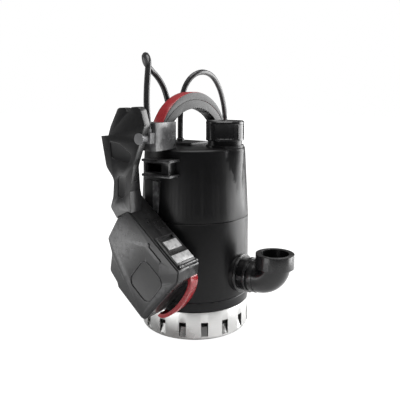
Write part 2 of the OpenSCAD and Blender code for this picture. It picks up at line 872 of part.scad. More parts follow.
// Frame of the switch housing: x runs down its sloping side, z out of that side
frame_x = -17.3;
frame_z = 187.4;
module on_switch() {
    translate([frame_x, 0, frame_z])
        rotate([0, switch_tilt, 0])
            children();
}
cover_outline = [
    [0, 0, 4], [107, 0, 5], [115, -14, 10], [111, -98, 7], [52, -98, 4], [46, -94, 4],
    [27, -91, 8], [14, -69, 10], [-4, -58, 6], [-9, -20, 12]
];
base_outline = [
    [-22, 0, 3], [107, 0, 5], [115, -14, 10], [111, -98, 7], [52, -98, 4], [46, -94, 4],
    [27, -91, 8], [14, -69, 10], [-4, -58, 6], [-14, -40, 8], [-24, -10, 4]
];
arm_outline = [
    [-14, 178, 0], [-15, 213, 8], [-7.5, 250, 14], [12, 302, 10], [4, 327, 8], [-11, 326, 5],
    [-16, 318, 3], [-21, 325, 5], [-34, 325, 7], [-48, 300, 10], [-53, 286, 3], [-66, 286, 1],
    [-57, 244, 18], [-43, 228, 14], [-45, 204, 12], [-50, 189, 6], [-33, 168, 4]
];
module switch_arm() {
    color(C_SOFT)
        difference() {
            intersection() {
                slab(switch_front, switch_split)
                    polygon(rounded(arm_outline));
                translate([-100, 0, 0])
                    rotate([90, 0, 90])
                        linear_extrude(height = 200)
                            polygon([
                                [-switch_front, 0], [-switch_front, 400], [-arm_back, 400], [-arm_back, 246],
                                [-switch_split, 208], [-switch_split, 0]
                            ]);
            }
            on_switch()
                slab(switch_front + 1, switch_split - 1)
                    polygon(rounded(cover_outline));
            y_bar(pivot_x, pivot_z, pivot_r + pin_clear, -switch_front - 1, -arm_back + 1);
            slab(switch_front + 1, switch_front - 1.5)
                polygon(rounded([[-50, 279, 2], [-32, 277, 3], [-10, 263, 3], [-14, 252, 4], [-47, 256, 6]]));
            slab(switch_front + 1, switch_front - 1.5)
                polygon(rounded([[-36, 232, 5], [-20, 236, 5], [-24, 206, 5], [-36, 200, 5]]));
        }
}

// Shells of the level switch
tab_out = 1.6;
latch_hinge_u = 103;
latch_hinge_n = 2.9;
latch_pin_r = 1;
latch_eye_r = 2.6;
latch_front = 119;
latch_back = 92;
module latch_ear(front, back) {
    difference() {
        slab(front, back)
            union() {
                translate([latch_hinge_u, latch_hinge_n])
                    circle(r = latch_eye_r, $fn = 24);
                translate([latch_hinge_u - latch_eye_r, -3])
                    square([2 * latch_eye_r, latch_hinge_n + 3]);
            }
        y_bar(latch_hinge_u, latch_hinge_n, latch_pin_r + fit, -front - 1, -back + 1, 24);
    }
}
module switch_cover() {
    color(C_SOFT)
        on_switch() {
            difference() {
                union() {
                    slab(switch_front - 2, switch_split)
                        polygon(rounded(cover_outline));
                    slab(switch_front, switch_front - 2.5)
                        polygon(rounded(inset(cover_outline, 1.5)));
                    slab(switch_front + tab_out, switch_front - 1)
                        polygon(rounded([[50, -8, 1], [53, -8, 1], [55, -11, 1], [80, -11, 1], [80, -16, 1], [50, -16, 2]]));
                }
                slab(switch_front - switch_wall, switch_split - 1)
                    polygon(rounded(inset(cover_outline, switch_wall)));
                slab(switch_front + 3, switch_front - 0.8)
                    polygon(rounded([[58, -30, 11], [101, -30, 11], [101, -75, 11], [58, -75, 11]], 8));
            }
            latch_ear(latch_front + 4.3, latch_front + seat);
        }
}
module switch_base() {
    color(C_SOFT)
        on_switch() {
            difference() {
                slab(switch_split, switch_back)
                    polygon(rounded(base_outline));
                slab(switch_split + 1, switch_back + switch_wall)
                    polygon(rounded(inset(base_outline, switch_wall)));
            }
            latch_ear(latch_back - seat, latch_back - 4.3);
        }
}
latch_t = 2.4;
module switch_latch() {
    color(C_SOFT)
        on_switch()
            difference() {
                union() {
                    translate([53, -switch_front + 4, seat])
                        cube([latch_hinge_u - 53 - latch_eye_r - 0.5, switch_front - switch_back - 7, latch_t]);
                    translate([latch_hinge_u - latch_eye_r - 1, -latch_front, seat])
                        cube([latch_eye_r + 1, latch_front - latch_back, latch_t]);
                    y_bar(latch_hinge_u, latch_hinge_n, latch_eye_r - seat, -latch_front, -latch_back, 24);
                    translate([63, -switch_front + 9, seat])
                        cube([13, 27, latch_t + 1.6]);
                    translate([85, -switch_front + 5, seat])
                        cube([12, switch_front - switch_back - 10, latch_t + 1.4]);
                }
                translate([55.5, -switch_front + 9, -1])
                    cube([5, 27, 6]);
                y_bar(latch_hinge_u, latch_hinge_n, latch_pin_r + fit, -latch_front - 1, -latch_back + 1, 24);
            }
}
module latch_pin() {
    color(C_STEEL)
        on_switch()
            y_bar(latch_hinge_u, latch_hinge_n, latch_pin_r, -latch_front - 4, -latch_back + 4, 24);
}
module lower_clip() {
    color(C_SOFT)
        on_switch()
            difference() {
                translate([58, -switch_front + 6, -102])
                    cube([24, switch_front - switch_back - 14, 4]);
                translate([62, -switch_front + 11, -103])
                    cube([16, 6, 6]);
            }
}

// Red hoop at the end of the level switch
hoop_end_n = -8;
hoop_len = 86;
module grab_hoop() {
    u0 = 112.5;
    mid_n = -14 - hoop_len / 2 + 1;
    color(C_RED)
        on_switch()
            difference() {
                slab(switch_back + 1 + hoop_w, switch_back + 1)
                    difference() {
                        polygon(ellipse_arc(u0, mid_n, hoop_out, hoop_len / 2, -90, 90, 24));
                        polygon(ellipse_arc(u0, mid_n, hoop_out - hoop_t, hoop_len / 2 - hoop_t - 1, -90, 90, 24));
                    }
                slab(switch_front, switch_back - 2)
                    polygon(rounded(cover_outline));
            }
}

// Inside the level switch: ball in its tube, and the switch it works
tube_r = ball_r + 2;
tube_u0 = 28;
tube_u1 = 78;
tube_n = -48;
tube_y = -switch_back - switch_wall - tube_r - seat;
ball_travel = 26;
module along_u(u0, u1, r, fn = SMALL) {
    on_switch()
        translate([u0, tube_y, tube_n])
            rotate([0, 90, 0])
                cylinder(h = u1 - u0, r = r, $fn = fn);
}
module ball_tube() {
    color(C_CREAM)
        difference() {
            along_u(tube_u0, tube_u1, tube_r);
            along_u(tube_u0 + 2, tube_u1 - 2, ball_r + seat);
        }
}
module steel_ball() {
    color(C_STEEL)
        on_switch()
            translate([tube_u1 - 2 - ball_r - seat, tube_y, tube_n])
                sphere(r = ball_r, $fn = SMALL);
}
module micro_switch() {
    color(C_SOFT)
        on_switch()
            translate([tube_u1 + seat, -switch_back - switch_wall - 10, tube_n - 9])
                cube([21, 10, 16]);
}

// Cables
function lerp(a, b, t) = a + (b - a) * t;
function spline(p0, p1, p2, p3, t) =
    0.5 * (2 * p1 + (p2 - p0) * t + (2 * p0 - 5 * p1 + 4 * p2 - p3) * t * t
        + (3 * p1 - p0 - 3 * p2 + p3) * t * t * t);
function smooth(pts, n) =
    let (k = len(pts))
    [for (i = [0:k - 2])
        for (j = [0:(i == k - 2 ? n : n - 1)])
            spline(pts[max(i - 1, 0)], pts[i], pts[i + 1], pts[min(i + 2, k - 1)], j / n)];
function tangent(path, i) = unit(path[min(i + 1, len(path) - 1)] - path[max(i - 1, 0)]);
function carried(path, i) =
    i == 0 ? unit(cross(tangent(path, 0), [0.31, 0.95, 0.07]))
        : let (p = carried(path, i - 1))
          let (t = tangent(path, i))
          unit(p - t * (p * t));
function frames(path, i = 0, side = undef) =
    i == len(path) ? []
        : let (t = tangent(path, i))
          let (p = side == undef ? cross(t, [0.31, 0.95, 0.07]) : side)
          let (s = unit(p - t * (p * t)))
          concat([[s, cross(t, s)]], frames(path, i + 1, s));
module tube(path, d, sides = 8) {
    f = frames(path);
    n = len(path);
    pts = [for (i = [0:n - 1])
        for (k = [0:sides - 1])
            path[i] + d / 2 * (cos(360 * k / sides) * f[i][0] + sin(360 * k / sides) * f[i][1])];
    sidefaces = [for (i = [0:n - 2])
        for (k = [0:sides - 1])
            [i * sides + k, (i + 1) * sides + k, (i + 1) * sides + (k + 1) % sides, i * sides + (k + 1) % sides]];
    low = [for (k = [0:sides - 1]) k];
    high = [for (k = [sides - 1:-1:0]) (n - 1) * sides + k];
    polyhedron(points = pts, faces = concat([low], sidefaces, [high]), convexity = 6);
}

// Routes, chosen by hand: from the deck up, over and down to the pivot block
switch_route = [
    [-36, -11, 268.1], [-36, -11, 285], [-36, -13, 303], [-37, -17, 328], [-39, -24, 350],
    [-42, -34, 366], [-44, -47, 377], [-41, -62, 386], [-33, -75, 393], [-22, -86, 396],
    [-12, -94, 392], [-6, -99, 383], [-4, -103, 368], [-3, -106, 350], [-1, -109, 330],
    [2, -111, 315], [4, -112, 306], [4, -112, 297.3]
];
power_route = [
    [-34, 9, 268.1], [-34, 9, 290], [-34, 10, 315], [-33, 13, 340], [-29, 20, 360],
    [-23, 32, 373], [-17, 48, 377], [-12, 66, 370], [-9, 82, 350], [-8, 93, 322],
    [-8, 99, 290], [-8, 102, 250], [-8, 104, 200], [-8, 106, 150], [-8, 107, 100],
    [-8, 108, 60], [-8, 113, 32], [-10, 123, 13], [-14, 134, 5], [-17, 147, 4.3]
];
module switch_cable() {
    color(C_SOFT)
        tube(smooth(switch_route, 3), cable_d);
}
module power_cable() {
    color(C_SOFT)
        tube(smooth(power_route, 3), cable_d);
}

// Coil of the power cable on the floor behind the pump, and the plug on it
coil_x = -109;
coil_y = 147;
coil_in = 54;
coil_out = 96;
coil_h = 32;
module power_coil() {
    color(C_SOFT)
        translate([coil_x, coil_y, 0])
            rotate_extrude($fn = MID)
                polygon(rounded([
                    [coil_in, 0, 4], [coil_in, coil_h, 4], [coil_out, coil_h, 4], [coil_out, 0, 4]
                ], 3));
}
plug_r = 18;
plug_l = 30;
plug_x = coil_x - 75;
plug_y = coil_y + 18;
plug_z = coil_h + plug_r + seat;
relief_l = 24;
pin_spread = 9.5;
module plug() {
    color(C_SOFT) {
        translate([plug_x, plug_y, plug_z])
            rotate([90, 0, 0]) {
                rotate_extrude($fn = MID)
                    polygon([
                        [0, -plug_l / 2], [plug_r - 2, -plug_l / 2], [plug_r, -plug_l / 2 + 2],
                        [plug_r, plug_l / 2 - 8], [plug_r - 6, plug_l / 2], [cable_d / 2 + 3, plug_l / 2],
                        [cable_d / 2 + 1, plug_l / 2 + relief_l], [0, plug_l / 2 + relief_l]
                    ]);
            }
    }
}
module plug_pins() {
    color(C_BRASS)
        translate([plug_x, plug_y, plug_z])
            rotate([90, 0, 0])
                for (s = [-1, 1])
                    translate([s * pin_spread, 0, -plug_l / 2 - 19])
                        cylinder(h = 19, r = 2.4, $fn = 24);
}
lead_route = [
    [-184, 126, 50.3], [-184, 116, 49.5], [-181, 106, 46], [-175, 96, 41.5], [-167, 88, 38], [-158, 82, 36.4]
];
module plug_lead() {
    color(C_SOFT)
        tube(smooth(lead_route, 2), cable_d);
}

strainer();
base_ring();
inlet_plate();
base_screws();
volute();
impeller();
impeller_nut();
flap_valve();
flap_pin();
lower_housing();
seal_cover();
shaft_seal();
lower_bearing();
shaft();
rotor_core();
stator_core();
windings();
motor_can();
upper_bearing();
motor_cap();
capacitor();
housing_seal();
upper_housing();
deck_plate();
power_gland();
switch_gland();
outlet_collar();
elbow();
elbow_seal();
cap_seal();
top_cap();
handle_grip();
handle_shell();
bracket_box();
cable_clip();
side_guide();
pivot_block();
pivot_pin();
switch_arm();
switch_cover();
switch_base();
switch_latch();
latch_pin();
lower_clip();
grab_hoop();
ball_tube();
steel_ball();
micro_switch();
switch_cable();
power_cable();
power_coil();
plug_lead();
plug();
plug_pins();
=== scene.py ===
"""The looks of a submersible drainage pump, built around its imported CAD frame.

Lengths are in metres, in the frame of the CAD part: the origin is the centre of
the foot on the floor, +X is the side outlet and -Y the level switch.
"""

from __future__ import annotations

import json
import logging
import math
from contextlib import contextmanager
from dataclasses import dataclass, field
from enum import Enum
from typing import Iterator, Sequence

import bpy  # noqa: E402
from mathutils import Matrix, Vector  # noqa: E402

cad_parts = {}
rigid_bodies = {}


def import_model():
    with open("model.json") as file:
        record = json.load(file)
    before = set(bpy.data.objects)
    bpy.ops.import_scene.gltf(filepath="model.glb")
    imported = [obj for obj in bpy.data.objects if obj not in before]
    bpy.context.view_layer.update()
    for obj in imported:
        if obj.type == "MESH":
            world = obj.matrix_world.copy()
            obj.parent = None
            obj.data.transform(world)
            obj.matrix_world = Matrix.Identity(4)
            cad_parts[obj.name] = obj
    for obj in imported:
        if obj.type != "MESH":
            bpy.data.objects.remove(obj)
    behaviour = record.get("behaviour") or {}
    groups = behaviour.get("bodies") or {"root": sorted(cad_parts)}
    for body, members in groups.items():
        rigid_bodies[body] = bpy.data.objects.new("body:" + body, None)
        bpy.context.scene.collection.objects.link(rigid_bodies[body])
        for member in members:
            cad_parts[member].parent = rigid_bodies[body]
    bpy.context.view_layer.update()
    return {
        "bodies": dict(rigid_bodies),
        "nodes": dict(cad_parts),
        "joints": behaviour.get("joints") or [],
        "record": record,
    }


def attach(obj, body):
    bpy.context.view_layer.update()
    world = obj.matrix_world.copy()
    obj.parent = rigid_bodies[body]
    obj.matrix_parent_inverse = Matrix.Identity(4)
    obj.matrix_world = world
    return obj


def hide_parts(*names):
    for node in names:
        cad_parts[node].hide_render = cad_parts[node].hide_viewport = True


LOG = logging.getLogger("pump")
MM = 0.001
MERGE_GAP = 0.00001
SHARP = 40.0

Colour = tuple[float, float, float]
Point = tuple[float, float, float]


class Body(Enum):
    """What a hand-made piece moves with."""

    PUMP = "root"
    SWITCH = "level_switch"
    LATCH = "latch"


class Pick(Enum):
    """What is selected while a mesh is edited."""

    POINTS = "VERT"
    FACES = "FACE"


# Shader groups


class ShaderGroups:
    """Node groups that several finishes share, each built once."""

    FINE_SHARE = 0.3
    EDGE_START = 0.51
    DUST_SCALE = 60.0

    def __init__(self) -> None:
        """Starts with no group built."""
        self._built: dict[str, bpy.types.NodeTree] = {}

    def _new(
        self,
        name: str,
        inputs: Sequence[tuple[str, str, float]],
        outputs: Sequence[tuple[str, str]],
    ) -> tuple[bpy.types.NodeTree, bpy.types.Node, bpy.types.Node]:
        """Makes an empty group with its sockets.

        Args:
            name: The group's name.
            inputs: Name, socket type and default value of each input.
            outputs: Name and socket type of each output.

        Returns:
            The tree, its group input node and its group output node.
        """
        tree = bpy.data.node_groups.new(name, "ShaderNodeTree")
        for label, kind, default in inputs:
            socket = tree.interface.new_socket(label, in_out="INPUT", socket_type=kind)
            if kind == "NodeSocketFloat":
                socket.default_value = default
        for label, kind in outputs:
            tree.interface.new_socket(label, in_out="OUTPUT", socket_type=kind)
        self._built[name] = tree
        return tree, tree.nodes.new("NodeGroupInput"), tree.nodes.new("NodeGroupOutput")

    @staticmethod
    def _noise(
        tree: bpy.types.NodeTree,
        vector: bpy.types.NodeSocket,
        scale: bpy.types.NodeSocket | float,
        detail: float,
        roughness: float = 0.5,
    ) -> bpy.types.NodeSocket:
        """Adds a noise texture.

        Args:
            tree: The group to work in.
            vector: Where the noise is read.
            scale: Its scale, or the socket that gives it.
            detail: Its octaves.
            roughness: How strong the finer octaves are.

        Returns:
            The noise, about 0.5 on average.
        """
        node = tree.nodes.new("ShaderNodeTexNoise")
        node.inputs["Detail"].default_value = detail
        node.inputs["Roughness"].default_value = roughness
        tree.links.new(vector, node.inputs["Vector"])
        if isinstance(scale, bpy.types.NodeSocket):
            tree.links.new(scale, node.inputs["Scale"])
        else:
            node.inputs["Scale"].default_value = scale
        return node.outputs["Fac"]

    @staticmethod
    def _ramp(
        tree: bpy.types.NodeTree, value: bpy.types.NodeSocket, low: float, high: float
    ) -> bpy.types.NodeSocket:
        """Stretches the values between two levels to 0 and 1.

        Args:
            tree: The group to work in.
            value: What is stretched.
            low: Level that becomes 0.
            high: Level that becomes 1.

        Returns:
            The stretched value.
        """
        node = tree.nodes.new("ShaderNodeMapRange")
        node.inputs["From Min"].default_value = low
        node.inputs["From Max"].default_value = high
        tree.links.new(value, node.inputs["Value"])
        return node.outputs["Result"]

    @staticmethod
    def _maths(
        tree: bpy.types.NodeTree,
        operation: str,
        *terms: bpy.types.NodeSocket | float,
    ) -> bpy.types.NodeSocket:
        """Adds a sum or a product.

        Args:
            tree: The group to work in.
            operation: The Math node's operation.
            terms: Its inputs in order, as sockets or plain numbers.

        Returns:
            The result.
        """
        node = tree.nodes.new("ShaderNodeMath")
        node.operation = operation
        for term, socket in zip(terms, node.inputs):
            if isinstance(term, bpy.types.NodeSocket):
                tree.links.new(term, socket)
            else:
                socket.default_value = term
        return node.outputs[0]

    def grain(self) -> bpy.types.NodeTree:
        """The fine skin of a moulded or cast surface.

        Returns:
            A group with Vector, Scale and Cloud in, and Tone, Height and Patch out.
        """
        if "surface_grain" in self._built:
            return self._built["surface_grain"]
        tree, into, out = self._new(
            "surface_grain",
            [
                ("Vector", "NodeSocketVector", 0.0),
                ("Scale", "NodeSocketFloat", 1800.0),
                ("Cloud", "NodeSocketFloat", 14.0),
            ],
            [
                ("Tone", "NodeSocketFloat"),
                ("Height", "NodeSocketFloat"),
                ("Patch", "NodeSocketFloat"),
            ],
        )
        where = into.outputs["Vector"]
        fine = self._noise(tree, where, into.outputs["Scale"], 3.0, 0.6)
        cloud = self._noise(tree, where, into.outputs["Cloud"], 5.0, 0.55)
        patch = self._ramp(tree, cloud, 0.35, 0.65)
        share = self._maths(tree, "MULTIPLY", patch, 1.0 - self.FINE_SHARE)
        tone = self._maths(tree, "MULTIPLY_ADD", fine, self.FINE_SHARE, share)
        tree.links.new(tone, out.inputs["Tone"])
        tree.links.new(fine, out.inputs["Height"])
        tree.links.new(patch, out.inputs["Patch"])
        return tree

    def rubbed_and_highlit_edges(self) -> bpy.types.NodeTree:
        """Where the raised edges are lightened, partly as handling wear and partly as a painted highlight
        along their rounding.

        Returns:
            A group with Vector, Reach and Breakup in, and Mask out.
        """
        if "rubbed_and_highlit_edges" in self._built:
            return self._built["rubbed_and_highlit_edges"]
        tree, into, out = self._new(
            "rubbed_and_highlit_edges",
            [
                ("Vector", "NodeSocketVector", 0.0),
                ("Reach", "NodeSocketFloat", 0.06),
                ("Breakup", "NodeSocketFloat", 160.0),
            ],
            [("Mask", "NodeSocketFloat")],
        )
        # Convex edges found by pointiness are lightened, partly as wear and partly as a painted
        # highlight.
        shape = tree.nodes.new("ShaderNodeNewGeometry")
        top = self._maths(tree, "ADD", self.EDGE_START, into.outputs["Reach"])
        ramp = tree.nodes.new("ShaderNodeMapRange")
        ramp.interpolation_type = "SMOOTHSTEP"
        ramp.inputs["From Min"].default_value = self.EDGE_START
        tree.links.new(shape.outputs["Pointiness"], ramp.inputs["Value"])
        tree.links.new(top, ramp.inputs["From Max"])
        noise = self._noise(tree, into.outputs["Vector"], into.outputs["Breakup"], 3.0)
        worn_and_highlit = self._ramp(tree, noise, 0.3, 0.55)
        mask = self._maths(tree, "MULTIPLY", ramp.outputs["Result"], worn_and_highlit)
        tree.links.new(mask, out.inputs["Mask"])
        return tree

    def settled_dust(self) -> bpy.types.NodeTree:
        """Fine dust that lies on what faces up.

        Returns:
            A group with Vector and Amount in, and Mask out.
        """
        if "settled_dust" in self._built:
            return self._built["settled_dust"]
        tree, into, out = self._new(
            "settled_dust",
            [("Vector", "NodeSocketVector", 0.0), ("Amount", "NodeSocketFloat", 0.1)],
            [("Mask", "NodeSocketFloat")],
        )
        shape = tree.nodes.new("ShaderNodeNewGeometry")
        split = tree.nodes.new("ShaderNodeSeparateXYZ")
        tree.links.new(shape.outputs["Normal"], split.inputs["Vector"])
        up = self._ramp(tree, split.outputs["Z"], 0.35, 1.0)
        noise = self._noise(tree, into.outputs["Vector"], self.DUST_SCALE, 6.0)
        lying = self._maths(tree, "MULTIPLY", up, noise)
        mask = self._maths(tree, "MULTIPLY", lying, into.outputs["Amount"])
        tree.links.new(mask, out.inputs["Mask"])
        return tree


GROUPS = ShaderGroups()


# Finishes


def shader_of(material: bpy.types.Material) -> bpy.types.Node:
    """The Principled shader of a material, which every finish here has once."""
    return next(n for n in material.node_tree.nodes if n.type == "BSDF_PRINCIPLED")


def place_group(
    material: bpy.types.Material, tree: bpy.types.NodeTree, **values: float
) -> bpy.types.Node:
    """Places a shared group in a material, on Object coordinates.

    Args:
        material: The material that gets the group.
        tree: The group.
        values: Values of the group's inputs, by name.

    Returns:
        The group's node.
    """
    nodes, links = material.node_tree.nodes, material.node_tree.links
    place = next((n for n in nodes if n.type == "TEX_COORD"), None)
    if place is None:
        place = nodes.new("ShaderNodeTexCoord")
    node = nodes.new("ShaderNodeGroup")
    node.node_tree = tree
    links.new(place.outputs["Object"], node.inputs["Vector"])
    for label, value in values.items():
        node.inputs[label].default_value = value
    return node


def blend_colours(
    material: bpy.types.Material,
    mask: bpy.types.NodeSocket,
    low: Colour | bpy.types.NodeSocket,
    high: Colour,
) -> bpy.types.NodeSocket:
    """Mixes two colours by a mask.

    Args:
        material: The material to work in.
        mask: Value from 0 to 1.
        low: Colour where the mask is 0, or the socket that gives it.
        high: Colour where the mask is 1.

    Returns:
        The mixed colour's socket.
    """
    mix = material.node_tree.nodes.new("ShaderNodeMix")
    mix.data_type = "RGBA"
    material.node_tree.links.new(mask, mix.inputs[0])
    if isinstance(low, bpy.types.NodeSocket):
        material.node_tree.links.new(low, mix.inputs[6])
    else:
        mix.inputs[6].default_value = (*low, 1.0)
    mix.inputs[7].default_value = (*high, 1.0)
    return mix.outputs[2]


def spread_value(
    material: bpy.types.Material, mask: bpy.types.NodeSocket, low: float, high: float
) -> bpy.types.NodeSocket:
    """Maps a mask from 0 to 1 onto a range of values.

    Args:
        material: The material to work in.
        mask: Value from 0 to 1.
        low: Value where the mask is 0.
        high: Value where the mask is 1.

    Returns:
        The value's socket.
    """
    node = material.node_tree.nodes.new("ShaderNodeMapRange")
    node.inputs["To Min"].default_value = low
    node.inputs["To Max"].default_value = high
    material.node_tree.links.new(mask, node.inputs["Value"])
    return node.outputs["Result"]


def raise_skin(
    material: bpy.types.Material, height: bpy.types.NodeSocket, depth: float
) -> None:
    """Feeds a height into the shader's normal.

    Args:
        material: The material to work in.
        height: Height from 0 to 1.
        depth: What a height of 1 stands for, in metres.
    """
    bump = material.node_tree.nodes.new("ShaderNodeBump")
    bump.inputs["Strength"].default_value = 1.0
    bump.inputs["Distance"].default_value = depth
    material.node_tree.links.new(height, bump.inputs["Height"])
    material.node_tree.links.new(bump.outputs["Normal"], shader_of(material).inputs["Normal"])


def new_material(name: str) -> bpy.types.Material:
    """A material with a Principled shader and nothing else."""
    material = bpy.data.materials.new(name)
    material.use_nodes = True
    return material


@dataclass(frozen=True)
class Moulded:
    """Injection-moulded plastic with a spark-eroded skin, dust, and lighter edges that are partly wear
    and partly a painted highlight.
    """

    name: str
    colour: Colour
    lift: float = 1.5
    roughness: float = 0.38
    swing: float = 0.08
    depth: float = 0.00002
    grain: float = 1600.0
    cloud: float = 16.0
    # Colour and reach of the lightened edges, which are partly wear and partly a painted highlight.
    edge_wear_highlight: Colour = (0.06, 0.06, 0.062)
    wear_and_highlight: float = 0.08
    dust: float = 0.05
    dust_colour: Colour = (0.45, 0.43, 0.4)
    specular: float = 0.5
    coat: float = 0.0
    coat_roughness: float = 0.12

    def build(self) -> bpy.types.Material:
        """Builds the material.

        Returns:
            The finished material.
        """
        material = new_material(self.name)
        shader = shader_of(material)
        grain = place_group(material, GROUPS.grain(), Scale=self.grain, Cloud=self.cloud)
        edges = place_group(material, GROUPS.rubbed_and_highlit_edges(), Reach=self.wear_and_highlight)
        dust = place_group(material, GROUPS.settled_dust(), Amount=self.dust)
        lighter = tuple(min(1.0, c * self.lift) for c in self.colour)
        skin = blend_colours(material, grain.outputs["Tone"], self.colour, lighter)
        # Convex edges are lightened here, partly as wear and partly as a painted highlight.
        wear_and_highlight = blend_colours(material, edges.outputs["Mask"], skin, self.edge_wear_highlight)
        final = blend_colours(material, dust.outputs["Mask"], wear_and_highlight, self.dust_colour)
        material.node_tree.links.new(final, shader.inputs["Base Color"])
        rough = spread_value(
            material,
            grain.outputs["Patch"],
            self.roughness - self.swing / 2,
            self.roughness + self.swing / 2,
        )
        material.node_tree.links.new(rough, shader.inputs["Roughness"])
        shader.inputs["Specular IOR Level"].default_value = self.specular
        shader.inputs["Coat Weight"].default_value = self.coat
        shader.inputs["Coat Roughness"].default_value = self.coat_roughness
        raise_skin(material, grain.outputs["Height"], self.depth)
        return material


@dataclass(frozen=True)
class RoundBrushed:
    """Sheet steel brushed round the pump's upright axis."""

    name: str
    colour: Colour = (0.72, 0.72, 0.71)
    tints: tuple[float, float] = (0.86, 1.12)
    roughness: tuple[float, float] = (0.22, 0.34)
    depth: float = 0.000012
    line_scale: Point = (18.0, 18.0, 5200.0)
    grain: float = 900.0
    cloud: float = 22.0

    def build(self) -> bpy.types.Material:
        """Builds the material.

        Returns:
            The finished material.
        """
        material = new_material(self.name)
        nodes, links = material.node_tree.nodes, material.node_tree.links
        shader = shader_of(material)
        place = nodes.new("ShaderNodeTexCoord")
        stretch = nodes.new("ShaderNodeMapping")
        stretch.inputs["Scale"].default_value = self.line_scale
        links.new(place.outputs["Object"], stretch.inputs["Vector"])
        lines = nodes.new("ShaderNodeTexNoise")
        lines.inputs["Scale"].default_value = 1.0
        lines.inputs["Detail"].default_value = 4.0
        links.new(stretch.outputs["Vector"], lines.inputs["Vector"])
        grain = place_group(material, GROUPS.grain(), Scale=self.grain, Cloud=self.cloud)
        dark, bright = [tuple(min(1.0, c * tint) for c in self.colour) for tint in self.tints]
        tone = blend_colours(material, lines.outputs["Fac"], dark, bright)
        links.new(tone, shader.inputs["Base Color"])
        rough = spread_value(material, grain.outputs["Patch"], *self.roughness)
        links.new(rough, shader.inputs["Roughness"])
        shader.inputs["Metallic"].default_value = 1.0
        raise_skin(material, lines.outputs["Fac"], self.depth)
        return material


@dataclass(frozen=True)
class Metal:
    """Turned, cast or plated metal with fine marks."""

    name: str
    colour: Colour
    roughness: float = 0.35
    swing: float = 0.16
    shade: float = 0.8
    depth: float = 0.00003
    grain: float = 700.0
    cloud: float = 30.0

    def build(self) -> bpy.types.Material:
        """Builds the material.

        Returns:
            The finished material.
        """
        material = new_material(self.name)
        shader = shader_of(material)
        grain = place_group(material, GROUPS.grain(), Scale=self.grain, Cloud=self.cloud)
        dark = tuple(c * self.shade for c in self.colour)
        tone = blend_colours(material, grain.outputs["Tone"], dark, self.colour)
        material.node_tree.links.new(tone, shader.inputs["Base Color"])
        rough = spread_value(
            material,
            grain.outputs["Patch"],
            self.roughness - self.swing / 2,
            self.roughness + self.swing / 2,
        )
        material.node_tree.links.new(rough, shader.inputs["Roughness"])
        shader.inputs["Metallic"].default_value = 1.0
        raise_skin(material, grain.outputs["Height"], self.depth)
        return material


FINISHES: dict[str, Moulded | RoundBrushed | Metal] = {
    "stainless": RoundBrushed("brushed stainless"),
    "housing_black": Moulded(
        "housing plastic", (0.0045, 0.0045, 0.005), roughness=0.33, specular=0.25, dust=0.02
    ),
    "inner_black": Moulded("hidden plastic", (0.012, 0.012, 0.013), roughness=0.5),
    "fastener_steel": Metal("plated steel", (0.6, 0.6, 0.6), 0.3),
    "impeller_cream": Moulded("impeller plastic", (0.6, 0.57, 0.47), lift=1.1, roughness=0.4),
    "seal_rubber": Moulded("seal rubber", (0.01, 0.01, 0.01), roughness=0.7, specular=0.3),
    "bearing_steel": Metal("ground steel", (0.66, 0.66, 0.67), 0.2),
    "rotor_grey": Metal("stacked steel", (0.3, 0.3, 0.31), 0.45),
    "copper": Metal("enamelled copper", (0.72, 0.32, 0.14), 0.3),
    "motor_alu": Metal("cast aluminium", (0.62, 0.63, 0.64), 0.5),
    "outlet_black": Moulded("outlet plastic", (0.005, 0.005, 0.0055), roughness=0.22),
    "grip_black": Moulded("grip plastic", (0.006, 0.006, 0.0065), roughness=0.32, specular=0.22),
    "handle_red": Moulded(
        "handle red",
        (0.33, 0.012, 0.018),
        lift=1.12,
        roughness=0.27,
        # Lighter red on the edges, partly a painted highlight.
        edge_wear_highlight=(0.55, 0.06, 0.07),
        coat=0.25,
    ),
    # The bracket is black plastic; its colour is lifted to grey so that its faces show a painted
    # reflection of the right-hand light.
    "bracket_grey": Moulded("bracket plastic lightened for painted reflection", (0.1, 0.1, 0.102), roughness=0.27),
    "pivot_grey": Moulded("pivot plastic", (0.16, 0.16, 0.165), lift=1.1, roughness=0.4),
    "switch_black": Moulded("switch plastic", (0.008, 0.008, 0.0085), roughness=0.3),
    "latch_grey": Moulded(
        # Near-white edges, partly a painted highlight.
        "latch plastic", (0.24, 0.24, 0.243), lift=1.1, roughness=0.3, edge_wear_highlight=(0.7, 0.7, 0.7)
    ),
    "cable_rubber": Moulded(
        "cable rubber", (0.008, 0.008, 0.0085), roughness=0.24, grain=900.0
    ),
    "plug_black": Moulded("plug plastic", (0.01, 0.01, 0.011), roughness=0.4),
    "plug_brass": Metal("plug brass", (0.78, 0.56, 0.25), 0.25),
}
_materials: dict[str, bpy.types.Material] = {}


def finish_of(slot: str) -> bpy.types.Material:
    """The material of a slot of the record, built at its first use.

    Args:
        slot: The slot's name.

    Returns:
        The material.
    """
    if slot not in _materials:
        _materials[slot] = FINISHES[slot].build()
    return _materials[slot]


# Hand work on meshes


def pick_only(obj: bpy.types.Object) -> None:
    """Selects one object alone and makes it the active one."""
    bpy.ops.object.select_all(action="DESELECT")
    obj.select_set(True)
    bpy.context.view_layer.objects.active = obj


@contextmanager
def editing(obj: bpy.types.Object, pick: Pick = Pick.FACES) -> Iterator[None]:
    """Edits one object alone, with nothing else selected.

    Args:
        obj: The mesh object.
        pick: What is selected in it.

    Yields:
        Nothing, while the object is in edit mode.
    """
    pick_only(obj)
    bpy.ops.object.mode_set(mode="EDIT")
    bpy.ops.mesh.select_mode(type=pick.value)
    yield
    bpy.ops.object.mode_set(mode="OBJECT")


